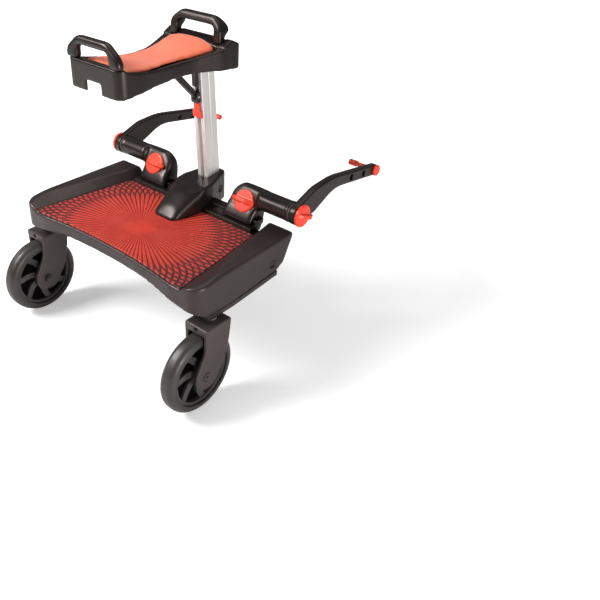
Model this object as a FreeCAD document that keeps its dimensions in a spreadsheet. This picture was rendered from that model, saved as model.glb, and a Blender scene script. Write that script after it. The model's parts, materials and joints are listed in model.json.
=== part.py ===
import FreeCAD, Part
import math
import os
import Sketcher

# Stroller ride-on board with a folding saddle. Millimetres, +Z up, +Y towards the stroller, floor at 0.
# Pieces are drawn on the deck's own line, then each node is set back by box_middle to the frame's origin.

Vector = FreeCAD.Vector
doc = FreeCAD.newDocument("BuggyBoard")
sheet = doc.addObject("Spreadsheet::Sheet", "Sizes")


def number(amount):
    """The plain value of a size or of a number."""
    return amount.value if isinstance(amount, Size) else float(amount)


def formula(amount):
    """The sheet formula of a size, or a number as text."""
    return amount.text if isinstance(amount, Size) else "(%r)" % float(amount)


class Size:
    """A value together with the sheet formula that gives it."""

    def __init__(self, value, text):
        self.value = value
        self.text = text

    def join(self, sign, value, first, second):
        return Size(value, "(%s %s %s)" % (formula(first), sign, formula(second)))

    def __add__(self, other):
        return self.join("+", self.value + number(other), self, other)

    def __radd__(self, other):
        return self.join("+", number(other) + self.value, other, self)

    def __sub__(self, other):
        return self.join("-", self.value - number(other), self, other)

    def __rsub__(self, other):
        return self.join("-", number(other) - self.value, other, self)

    def __mul__(self, other):
        return self.join("*", self.value * number(other), self, other)

    def __rmul__(self, other):
        return self.join("*", number(other) * self.value, other, self)

    def __truediv__(self, other):
        return self.join("/", self.value / number(other), self, other)

    def __neg__(self):
        return self.join("-", -self.value, 0.0, self)


def sine(angle):
    return Size(math.sin(math.radians(number(angle))), "sin(%s)" % formula(angle))


def cosine(angle):
    return Size(math.cos(math.radians(number(angle))), "cos(%s)" % formula(angle))


DRIVING = {
    # Fits and the frame
    "shaft_gap": 0.05,
    "seat_gap": 0.15,
    "run_gap": 0.4,
    "box_middle": 89.0,
    # Castors
    "wheel_radius": 62.5,
    "tyre_width": 25.0,
    "tyre_inner": 50.0,
    "tyre_round": 9.5,
    "rim_inner": 45.0,
    "rim_width": 18.0,
    "hub_radius": 15.0,
    "web_thick": 3.0,
    "hub_width": 26.0,
    "spoke_width": 13.0,
    "spoke_count": 7,
    "bearing_radius": 9.0,
    "bearing_width": 6.0,
    "axle_radius": 4.0,
    "axle_head_radius": 6.5,
    "axle_head_height": 3.0,
    "axle_nut_radius": 7.0,
    "axle_nut_height": 5.0,
    "wheel_inset": 7.0,
    "swivel_line": -58.0,
    "castor_trail": 28.0,
    "fork_gap": 29.6,
    "fork_leg": 6.0,
    "crown_top": 140.0,
    "crown_under": 127.5,
    "crown_hole": 3.2,
    "stem_radius": 4.5,
    "stem_ring_radius": 6.5,
    "stem_ring_height": 2.0,
    "bush_wall": 1.5,
    "bush_flange_radius": 9.0,
    "bush_flange_height": 2.0,
    "bush_top": 176.0,
    # Deck
    "deck_half_front": 190.0,
    "deck_flare": 2.5,
    "deck_front": 116.0,
    "deck_rear": -93.0,
    "deck_corner": 22.0,
    "rim_top_front": 208.0,
    "rim_top_rear": 205.0,
    "rim_top_end": 199.0,
    "floor_top": 190.0,
    "floor_thick": 4.0,
    "deck_wall": 4.0,
    "deck_bottom": 149.5,
    "deck_bottom_front": 156.5,
    "corner_bottom": 161.0,
    "trough_side_front": 57.0,
    "trough_side_rear": 28.0,
    "trough_run_front": 12.0,
    "trough_run_rear": 28.0,
    "trough_step": 3.0,
    "rear_hollow": 10.0,
    "lip_bottom": 170.0,
    "rib_thick": 3.0,
    "rib_bottom": 172.0,
    "boss_radius": 6.0,
    "runner_stand": 1.0,
    "runner_width": 31.0,
    "runner_front": 76.0,
    "runner_rear": -70.0,
    "runner_knee": -20.0,
    "runner_depth": 7.1,
    "screw_inset": 19.0,
    "screw_radius": 2.5,
    "screw_head_radius": 4.5,
    "screw_head_height": 2.5,
    "screw_sink": 3.2,
    "screw_top": 170.0,
    "plug_length": 14.0,
    "plug_height": 8.0,
    "plug_middle": 65.0,
    "plug_level": 172.0,
    "mat_thick": 3.0,
    "mat_front": 83.5,
    "mat_setback": 4.0,
    # Rail and post socket
    "rail_clear": 3.0,
    "rail_rear": 84.0,
    "rail_step": 99.0,
    "rail_front": 115.5,
    "rail_foot": 106.5,
    "rail_ledge": 199.0,
    "rail_top": 206.0,
    "socket_nose": 28.0,
    "socket_nose_half": 23.0,
    "socket_half": 31.5,
    "socket_front": 152.0,
    "socket_front_half": 17.0,
    "socket_top_rear": 232.0,
    "socket_top_front": 240.0,
    "post_width": 21.0,
    "post_depth": 30.0,
    "post_wall": 3.2,
    "post_length": 218.0,
    "post_lean": 4.3,
    "post_foot_line": 134.5,
    "post_foot_level": 194.0,
    "post_slot_width": 8.4,
    "post_slot_depth": 8.0,
    "post_bolt_radius": 3.0,
    "post_bolt_level": 20.0,
    "post_bolt_half": 17.5,
    "post_bolt_head": 5.2,
    "post_bolt_head_height": 3.0,
    # Saddle hinge and prop
    "hinge_line": 101.0,
    "hinge_level": 425.0,
    "hinge_pin_radius": 3.2,
    "hinge_boss_radius": 6.5,
    "head_plug": 18.0,
    "cheek_inner": 11.0,
    "cheek_thick": 4.0,
    "cheek_rear": 28.0,
    "cheek_front": 113.0,
    "cheek_bottom": 411.0,
    "bridge_thick": 2.5,
    "prop_foot_depth": 3.2,
    "prop_foot_height": 176.0,
    "prop_top_line": 49.0,
    "prop_top_level": 422.7,
    "prop_half_width": 3.8,
    "prop_half_height": 4.0,
    "prop_pin_radius": 2.0,
    "window_length": 17.4,
    "window_below": 1.4,
    "window_above": 7.5,
    "stop_low": 192.0,
    "stop_depth": 5.5,
    "slider_lug_half": 6.9,
    "slider_lug_above": 7.0,
    "slider_lug_below": 9.0,
    "slider_tail": 140.0,
    "latch_half": 9.0,
    "latch_neck_half": 5.5,
    "latch_depth": 2.5,
    "latch_height": 24.0,
    "latch_travel": 5.0,
    "latch_stud_radius": 2.0,
    # Saddle
    "seat_rear": -81.0,
    "seat_front": 141.0,
    "seat_half_rear": 53.0,
    "seat_half_waist": 41.0,
    "seat_half_front": 62.0,
    "rim_rise": 12.0,
    "seat_dip": 17.0,
    "notch_half": 15.0,
    "notch_drop": 9.0,
    "seat_plate_top": 437.0,
    "seat_plate_thick": 2.5,
    "seat_wall": 3.5,
    "skirt_drop_rear": 24.0,
    "skirt_drop_middle": 16.0,
    "skirt_drop_front": 20.0,
    "seat_ridge": 460.0,
    "back_rise": 3.0,
    "pad_rear": -66.0,
    "pad_front": 96.0,
    "pad_half_rear": 45.0,
    "pad_half_waist": 33.5,
    "pad_half_front": 46.0,
    "pad_side": 3.5,
    "pad_crown": 13.5,
    "pad_dip": 6.5,
    "handle_bar": 12.0,
    "rear_handle_half": 52.0,
    "rear_handle_rise": 30.0,
    "rear_window_half": 31.0,
    "front_handle_half": 49.5,
    "front_handle_rise": 28.0,
    "front_window_half": 36.0,
    "front_handle_rear": 101.0,
    "front_handle_front": 122.0,
    "peg_radius": 2.5,
    "peg_length": 9.0,
    # Stroller arms
    "tube_line": 117.0,
    "tube_level": 235.0,
    "tube_radius": 15.7,
    "tube_end": 183.0,
    "collar_radius": 16.3,
    "collar_width": 5.0,
    "elbow_inner": 61.0,
    "elbow_outer": 125.0,
    "knob_face_angle": 60.0,
    "knob_across": 99.5,
    "knob_face_line": 106.4,
    "knob_face_level": 227.7,
    "elbow_knob_radius": 18.0,
    "end_knob_radius": 17.0,
    "knob_thick": 5.0,
    "knob_fin": 6.0,
    "knob_fin_thick": 6.5,
    "stud_radius": 4.0,
    "stud_length": 16.0,
    "disc_thick": 1.6,
    "arm_thick": 12.0,
    "arm_hub_radius": 16.5,
    "arm_half_height": 9.0,
    "arm_reach": 200.5,
    "arm_rise": 7.5,
    "arm_slope": 0.15,
    "hole_pitch": 35.5,
    "hitch_radius": 5.0,
    "hitch_neck_radius": 3.6,
    "hitch_bulb": 14.0,
    "hitch_inside": 38.0,
    "hitch_head_radius": 9.0,
    "hitch_head_thick": 4.0,
}


class Dimensions:
    """The driving sizes, one aliased cell each."""

    def __init__(self, sizes):
        for row, (name, value) in enumerate(sizes.items(), 1):
            sheet.set("A%d" % row, name)
            sheet.set("B%d" % row, "%r" % value)
            sheet.setAlias("B%d" % row, name)
            setattr(self, name, Size(value, "Sizes." + name))


d = Dimensions(DRIVING)

# Widths that follow the deck
d.deck_half_rear = d.deck_half_front + d.deck_flare
d.wheel_plane = d.deck_half_front - d.wheel_inset
d.runner_outer = d.deck_half_front + d.runner_stand
d.runner_inner = d.runner_outer - d.runner_width
d.screw_line = d.runner_outer - d.screw_inset
d.trough_front = d.deck_half_front - d.trough_side_front
d.trough_rear = d.deck_half_front - d.trough_side_rear
d.rail_half = d.trough_front - d.rail_clear

# Levels that follow the saddle's plate and ridge
d.seat_rim = d.seat_plate_top + d.rim_rise
d.seat_back_top = d.seat_rim + d.back_rise
d.notch_top = d.seat_plate_top - d.notch_drop
d.skirt_rear = d.seat_plate_top - d.skirt_drop_rear
d.skirt_middle = d.seat_plate_top - d.skirt_drop_middle
d.skirt_front = d.seat_plate_top - d.skirt_drop_front
d.rear_handle_top = d.seat_back_top + d.rear_handle_rise
d.rear_window_top = d.rear_handle_top - d.handle_bar
d.front_handle_top = d.seat_ridge + d.front_handle_rise
d.front_window_top = d.front_handle_top - d.handle_bar

doc.recompute()

# Derived lines
axle_line = d.swivel_line - d.castor_trail
floor_under = d.floor_top - d.floor_thick
mat_top = d.floor_top + d.mat_thick
seat_plate_under = d.seat_plate_top - d.seat_plate_thick
bridge_under = seat_plate_under - d.bridge_thick
fork_half = d.fork_gap / 2 + d.fork_leg
arm_inner = d.tube_end + d.disc_thick + d.run_gap
arm_outer = arm_inner + d.arm_thick
tip_line = d.tube_line + d.arm_reach
tip_level = d.tube_level + d.arm_rise

PLANES = {
    "XY": FreeCAD.Rotation(),
    "XZ": FreeCAD.Rotation(Vector(1, 0, 0), 90),
    "YZ": FreeCAD.Rotation(Vector(1, 1, 1), 120),
}


def bind(thing, field, amount):
    """Ties a property to its sheet formula."""
    thing.setExpression(field, formula(amount))


def put(thing, at=(0, 0, 0), turn=None):
    """Places a piece in the deck's own frame."""
    spot = Vector(*[number(value) for value in at])
    thing.Placement = FreeCAD.Placement(spot, turn or FreeCAD.Rotation())
    for axis, value in zip("xyz", at):
        if isinstance(value, Size):
            bind(thing, "Placement.Base." + axis, value)
    return thing


def node(thing, label, at=(0, 0, 0), turn=None):
    """Names a finished piece and sets it back to the frame's origin."""
    put(thing, (at[0], at[1] - d.box_middle, at[2]), turn)
    thing.Label = label
    finished.append(thing)
    return thing


def mirrored(source, label):
    """The left-hand twin of a right-hand piece."""
    twin = doc.addObject("Part::Mirroring", "Twin")
    twin.Source = source
    twin.Normal = Vector(1, 0, 0)
    twin.Label = label
    finished.append(twin)
    return twin


def box(low, high):
    """A block between two corners."""
    block = doc.addObject("Part::Box", "Block")
    for field, start, stop in zip(("Length", "Width", "Height"), low, high):
        bind(block, field, stop - start)
    return put(block, low)


def rod(radius, start, length, axis):
    """A round bar from a point along an axis."""
    bar = doc.addObject("Part::Cylinder", "Rod")
    bind(bar, "Radius", radius)
    bind(bar, "Height", length)
    return put(bar, start, FreeCAD.Rotation(Vector(0, 0, 1), Vector(*axis)))


def fused(*pieces):
    whole = doc.addObject("Part::MultiFuse", "Fused")
    whole.Shapes = list(pieces)
    whole.Refine = True
    return whole


def less(base, *tools):
    """A piece with the tools taken away, one after the other."""
    for tool in tools:
        step = doc.addObject("Part::Cut", "Less")
        step.Base = base
        step.Tool = tool
        base = step
    return base


def shared(first, second):
    """What two pieces have in common."""
    both = doc.addObject("Part::Common", "Shared")
    both.Base = first
    both.Tool = second
    return both


def group(pieces):
    """Separate solids kept together as one node."""
    several = doc.addObject("Part::Compound", "Group")
    several.Links = list(pieces)
    return several


def tie(drawing, point, axis, amount):
    """Holds one sketch point at a signed distance from the sketch's origin."""
    value = number(amount)
    if abs(value) < 1e-9:
        line = -2 if axis == "X" else -1
        drawing.addConstraint(Sketcher.Constraint("PointOnObject", point[0], point[1], line))
        return
    index = drawing.addConstraint(
        Sketcher.Constraint("Distance" + axis, -1, 1, point[0], point[1], value))
    if isinstance(amount, Size):
        bind(drawing, "Constraints[%d]" % index, amount)


def draw(drawing, corners):
    """Closed outline through corners (across, up, optional rounding), counter-clockwise."""
    spots = [Vector(number(c[0]), number(c[1]), 0) for c in corners]
    rounding = [c[2] if len(c) > 2 else 0 for c in corners]
    count = len(corners)
    leave = []
    arrive = []
    arcs = []
    for i, spot in enumerate(spots):
        back = (spots[i - 1] - spot).normalize()
        ahead = (spots[(i + 1) % count] - spot).normalize()
        radius = number(rounding[i])
        if radius == 0:
            arrive.append(spot)
            leave.append(spot)
            arcs.append(None)
            continue
        half = back.getAngle(ahead) / 2
        reach = radius / math.tan(half)
        arrive.append(spot + back * reach)
        leave.append(spot + ahead * reach)
        middle = spot + (back + ahead).normalize() * (radius / math.sin(half))
        turn_left = back.cross(ahead).z < 0
        arcs.append((middle, radius, turn_left))
    lines = []
    for i in range(count):
        lines.append(drawing.addGeometry(Part.LineSegment(leave[i], arrive[(i + 1) % count])))
    for i in range(count):
        before = lines[i - 1]
        after = lines[i]
        if arcs[i] is None:
            drawing.addConstraint(Sketcher.Constraint("Coincident", before, 2, after, 1))
            tie(drawing, (after, 1), "X", corners[i][0])
            tie(drawing, (after, 1), "Y", corners[i][1])
            continue
        middle, radius, turn_left = arcs[i]
        first = arrive[i] if turn_left else leave[i]
        last = leave[i] if turn_left else arrive[i]
        start = math.atan2(first.y - middle.y, first.x - middle.x)
        stop = math.atan2(last.y - middle.y, last.x - middle.x)
        ring = Part.Circle(middle, Vector(0, 0, 1), radius)
        arc = drawing.addGeometry(Part.ArcOfCircle(ring, start, stop))
        ends = (1, 2) if turn_left else (2, 1)
        corner = drawing.addGeometry(Part.Point(spots[i]), True)
        drawing.addConstraint(Sketcher.Constraint("Tangent", before, 2, arc, ends[0]))
        drawing.addConstraint(Sketcher.Constraint("Tangent", arc, ends[1], after, 1))
        drawing.addConstraint(Sketcher.Constraint("PointOnObject", corner, 1, before))
        drawing.addConstraint(Sketcher.Constraint("PointOnObject", corner, 1, after))
        index = drawing.addConstraint(Sketcher.Constraint("Radius", arc, radius))
        if isinstance(rounding[i], Size):
            bind(drawing, "Constraints[%d]" % index, rounding[i])
        tie(drawing, (corner, 1), "X", corners[i][0])
        tie(drawing, (corner, 1), "Y", corners[i][1])
    return drawing


def own_plane(body, role):
    """The body's own origin plane or axis of that role."""
    return [one for one in body.Origin.OriginFeatures if one.Role == role][0]


def body_sketch(body, plane, corners, lift=0):
    """A sketch on one of the body's own planes, lifted along the plane's normal."""
    drawing = body.newObject("Sketcher::SketchObject", "Outline")
    drawing.AttachmentSupport = [(own_plane(body, plane + "_Plane"), "")]
    drawing.MapMode = "FlatFace"
    drawing.AttachmentOffset = FreeCAD.Placement(Vector(0, 0, number(lift)), FreeCAD.Rotation())
    if isinstance(lift, Size):
        bind(drawing, "AttachmentOffset.Base.z", lift)
    return draw(drawing, corners)


def slab(plane, corners, start, stop):
    """An outline on a main plane given thickness from start to stop."""
    body = doc.addObject("PartDesign::Body", "Slab")
    lift = -stop if plane == "XZ" else start
    drawing = body_sketch(body, plane, corners, lift)
    pad = body.newObject("PartDesign::Pad", "Pad")
    pad.Profile = drawing
    bind(pad, "Length", stop - start)
    drawing.Visibility = False
    return body


def turned(corners):
    """A piece turned about X: corners are (along, radius)."""
    body = doc.addObject("PartDesign::Body", "Turned")
    drawing = body_sketch(body, "XY", corners)
    spin = body.newObject("PartDesign::Revolution", "Spin")
    spin.Profile = drawing
    spin.ReferenceAxis = (drawing, ["H_Axis"])
    spin.Angle = 360.0
    return body


def section(plane, corners, lift):
    """A free sketch on a main plane, moved along Y or up."""
    drawing = doc.addObject("Sketcher::SketchObject", "Section")
    at = (0, lift, 0) if plane == "XZ" else (0, 0, lift)
    put(drawing, at, PLANES[plane])
    return draw(drawing, corners)


def ruled(first, second):
    """A solid with straight sides between two sketches."""
    between = doc.addObject("Part::Loft", "Ruled")
    between.Sections = [first, second]
    between.Solid = True
    between.Ruled = True
    return between


def softened(base, radius, chosen):
    """Rounds the edges that the test picks."""
    doc.recompute()
    edges = [i + 1 for i, edge in enumerate(base.Shape.Edges) if chosen(edge)]
    smooth = doc.addObject("Part::Fillet", "Softened")
    smooth.Base = base
    smooth.Edges = [(i, number(radius), number(radius)) for i in edges]
    return smooth


def both_sides(corners):
    """A half outline on the +X side, listed rear to front, closed by its mirror image."""
    other = [(-c[0],) + tuple(c[1:]) for c in reversed(corners)]
    return list(corners) + other


UP_X = FreeCAD.Rotation(Vector(0, 0, 1), Vector(1, 0, 0))
ALONG_Z = FreeCAD.Rotation(Vector(1, 0, 0), Vector(0, 0, 1))
LEAN = FreeCAD.Rotation(Vector(1, 0, 0), number(d.post_lean))
POST_FOOT = (0, d.post_foot_line, d.post_foot_level)
finished = []


def pair(maker, name):
    """Makes a right-hand piece and its left-hand twin."""
    right = maker(name + "_right")
    return right, mirrored(right, name + "_left")


# Castors


def tyre(label):
    half = d.tyre_width / 2
    ring = turned([
        (-half, d.tyre_inner),
        (half, d.tyre_inner),
        (half, d.wheel_radius, d.tyre_round),
        (-half, d.wheel_radius, d.tyre_round),
    ])
    return node(ring, label, (d.wheel_plane, axle_line, d.wheel_radius))


def wheel(label):
    half = d.rim_width / 2
    rim_outer = d.tyre_inner - d.shaft_gap
    body = doc.addObject("PartDesign::Body", "Wheel")
    rim = body.newObject("PartDesign::Revolution", "Rim")
    rim_line = body_sketch(body, "XY", [
        (-half, d.rim_inner), (half, d.rim_inner), (half, rim_outer), (-half, rim_outer)])
    rim.Profile = rim_line
    rim.ReferenceAxis = (rim_line, ["H_Axis"])
    rim.Angle = 360.0
    root = d.hub_radius - 2
    rim_middle = (d.rim_inner + rim_outer) / 2
    blade = body_sketch(body, "YZ", [
        (root, -5),
        (root * 2.2, -2, 30),
        (rim_middle * 0.97, rim_middle * 0.22),
        (rim_middle * 0.90, rim_middle * 0.42),
        (root * 2.0, 8, 30),
        (root, 5),
    ], -d.spoke_width / 2)
    spoke = body.newObject("PartDesign::Pad", "Spoke")
    spoke.Profile = blade
    bind(spoke, "Length", d.spoke_width)
    spokes = body.newObject("PartDesign::PolarPattern", "Spokes")
    spokes.Originals = [spoke]
    spokes.Axis = (own_plane(body, "X_Axis"), [""])
    spokes.Angle = 360.0
    bind(spokes, "Occurrences", d.spoke_count)
    body.Tip = spokes
    web_half = d.web_thick / 2
    web_line = body_sketch(body, "XY", [
        (-web_half, d.hub_radius - 1), (web_half, d.hub_radius - 1),
        (web_half, d.rim_inner + 1), (-web_half, d.rim_inner + 1)])
    web = body.newObject("PartDesign::Revolution", "Web")
    web.Profile = web_line
    web.ReferenceAxis = (web_line, ["H_Axis"])
    web.Angle = 360.0
    hub_half = d.hub_width / 2
    bore = d.bearing_radius + d.shaft_gap
    shoulder = hub_half - d.bearing_width
    inner = d.bearing_radius - 2
    hub_line = body_sketch(body, "XY", [
        (-hub_half, bore), (-shoulder, bore), (-shoulder, inner), (shoulder, inner),
        (shoulder, bore), (hub_half, bore), (hub_half, d.hub_radius), (-hub_half, d.hub_radius)])
    hub = body.newObject("PartDesign::Revolution", "Hub")
    hub.Profile = hub_line
    hub.ReferenceAxis = (hub_line, ["H_Axis"])
    hub.Angle = 360.0
    return node(body, label, (d.wheel_plane, axle_line, d.wheel_radius))


def bearings(label):
    half = d.hub_width / 2
    rings = []
    for start in (-half, half - d.bearing_width):
        outer = rod(d.bearing_radius, (start, 0, 0), d.bearing_width, (1, 0, 0))
        hole = rod(d.axle_radius + d.shaft_gap, (start, 0, 0), d.bearing_width, (1, 0, 0))
        rings.append(less(outer, hole))
    return node(group(rings), label, (d.wheel_plane, axle_line, d.wheel_radius))


def axle_bolt(label):
    head_end = fork_half - d.run_gap
    head_start = head_end - d.axle_head_height
    tail = -(fork_half + d.axle_nut_height + 1)
    socket = head_end - d.axle_head_height / 2
    bolt = turned([
        (tail, 0), (socket, 0), (socket, d.axle_radius / 2), (head_end, d.axle_radius / 2),
        (head_end, d.axle_head_radius), (head_start, d.axle_head_radius),
        (head_start, d.axle_radius), (tail, d.axle_radius)])
    return node(bolt, label, (d.wheel_plane, axle_line, d.wheel_radius))


def axle_nut(label):
    hexagon = doc.addObject("Part::Prism", "Nut")
    hexagon.Polygon = 6
    bind(hexagon, "Circumradius", d.axle_nut_radius)
    bind(hexagon, "Height", d.axle_nut_height)
    start = -(fork_half + d.axle_nut_height)
    put(hexagon, (start, 0, 0), UP_X)
    hole = rod(d.axle_radius + d.shaft_gap, (start, 0, 0), d.axle_nut_height, (1, 0, 0))
    return node(less(hexagon, hole), label, (d.wheel_plane, axle_line, d.wheel_radius))


def fork(label):
    side = slab("YZ", [
        (d.swivel_line + 21, d.crown_top, 3),
        (axle_line - 1.5, d.crown_top, 3),
        (axle_line, d.crown_top - 32, 45),
        (axle_line - 20.5, d.wheel_radius + 9.5, 22),
        (axle_line - 20, d.wheel_radius - 21, 19),
        (axle_line + 15, d.wheel_radius - 21, 19),
        (axle_line + 36, d.wheel_radius + 11.5, 60),
        (axle_line + 45, d.crown_top - 32, 60),
    ], d.wheel_plane - fork_half, d.wheel_plane + fork_half)
    inner = d.wheel_plane - d.fork_gap / 2
    outer = d.wheel_plane + d.fork_gap / 2
    space = box((inner, axle_line - 40, 0), (outer, d.swivel_line + 40, d.crown_under))
    stem = rod(d.stem_radius + d.shaft_gap, (d.wheel_plane, d.swivel_line, d.crown_under),
               d.crown_top - d.crown_under, (0, 0, 1))
    axle = rod(d.axle_radius + d.shaft_gap, (d.wheel_plane - fork_half, axle_line, d.wheel_radius),
               fork_half * 2, (1, 0, 0))
    sink = d.axle_head_height + d.run_gap
    head = rod(d.axle_head_radius + d.run_gap,
               (d.wheel_plane + fork_half - sink, axle_line, d.wheel_radius), sink, (1, 0, 0))
    level = (d.crown_top + d.crown_under) / 2
    peep = rod(d.crown_hole, (d.wheel_plane, axle_line - 5, level), 14, (0, 1, 0))
    return node(less(side, space, stem, axle, head, peep), label)


def stem(label):
    ring_start = d.bush_top + d.run_gap
    ring_end = ring_start + d.stem_ring_height
    pin = turned([
        (d.crown_under + 0.5, 0), (ring_end + 1.5, 0), (ring_end + 1.5, d.stem_radius),
        (ring_end, d.stem_radius), (ring_end, d.stem_ring_radius),
        (ring_start, d.stem_ring_radius), (ring_start, d.stem_radius),
        (d.crown_under + 0.5, d.stem_radius)])
    return node(pin, label, (d.wheel_plane, d.swivel_line, 0), ALONG_Z)


def swivel_bush(label):
    bore = d.stem_radius + d.shaft_gap
    outer = d.stem_radius + d.bush_wall
    low = d.crown_top + d.run_gap
    flange = low + d.bush_flange_height
    sleeve = turned([
        (low, bore), (d.bush_top, bore), (d.bush_top, outer), (flange, outer),
        (flange, d.bush_flange_radius), (low, d.bush_flange_radius)])
    return node(sleeve, label, (d.wheel_plane, d.swivel_line, 0), ALONG_Z)


# Deck

runner_level = d.crown_top + d.run_gap + d.bush_flange_height
screw_places = (48.0, 6.0, -32.0)


def runner_under(along):
    """Level of the runner's underside at a place along the deck."""
    rise = (d.deck_bottom_front - d.deck_bottom) / (d.runner_front - d.runner_knee)
    ahead = along - d.runner_knee
    if number(ahead) <= 0:
        return runner_level
    return runner_level + ahead * rise


def side_runner(label):
    bar = slab("YZ", [
        (d.runner_front, runner_under(d.runner_front)),
        (d.runner_front, d.deck_bottom_front),
        (d.runner_knee, d.deck_bottom),
        (d.runner_rear, d.deck_bottom),
        (d.runner_rear, runner_level),
        (d.runner_knee, runner_level),
    ], d.runner_inner, d.runner_outer)
    tools = [rod(d.stem_radius + d.bush_wall + d.shaft_gap, (d.wheel_plane, d.swivel_line, runner_level),
                 20, (0, 0, 1))]
    for along in screw_places:
        low = runner_under(along) - 2
        tools.append(rod(d.screw_radius + d.shaft_gap, (d.screw_line, along, low), 20, (0, 0, 1)))
        tools.append(rod(d.screw_head_radius + d.run_gap, (d.screw_line, along, low),
                         2 + d.screw_sink, (0, 0, 1)))
    return node(less(bar, *tools), label)


def runner_screws():
    screws = []
    for side in (1, -1):
        for along in screw_places:
            seat = runner_under(along) + d.screw_sink
            across = side * d.screw_line
            head = rod(d.screw_head_radius, (across, along, seat - d.screw_head_height),
                       d.screw_head_height, (0, 0, 1))
            shank = rod(d.screw_radius, (across, along, seat), d.screw_top - seat, (0, 0, 1))
            screws.append(fused(head, shank))
    return node(group(screws), "runner_screws")


def trough_section(half, run, top, lift):
    """Cross-section of the space between the rims."""
    return section("XZ", both_sides([
        (half, d.floor_top), (half, d.floor_top + d.trough_step), (half + run, top), (half + run, top + 40),
    ]), lift)


trough_front_line = d.deck_front + 1
trough_rear_line = d.deck_rear - 8


def trough_half(along):
    """Half-width of the floor between the rims at a place along the deck."""
    slope = (d.trough_front - d.trough_rear) / (trough_front_line - trough_rear_line)
    return d.trough_rear + (along - trough_rear_line) * slope


def rim_space(half, run, top, lift, outer):
    """Cross-section of the hollow under one rim."""
    wall = d.deck_wall + 2
    return section("XZ", [
        (half + wall, d.deck_bottom - 20), (outer, d.deck_bottom - 20), (outer, top - wall),
        (half + run + wall - 3, top - wall), (half + wall, floor_under - 1),
    ], lift)


def rear_curve(setback):
    """Round cutter that hollows the rear edge in plan."""
    chord = d.trough_rear * 0.86
    radius = number(chord) ** 2 / (2 * number(d.rear_hollow)) + number(d.rear_hollow) / 2
    front = d.deck_rear + d.rear_hollow + setback
    return rod(radius, (0, front - radius, 100), 150, (0, 0, 1))


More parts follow.
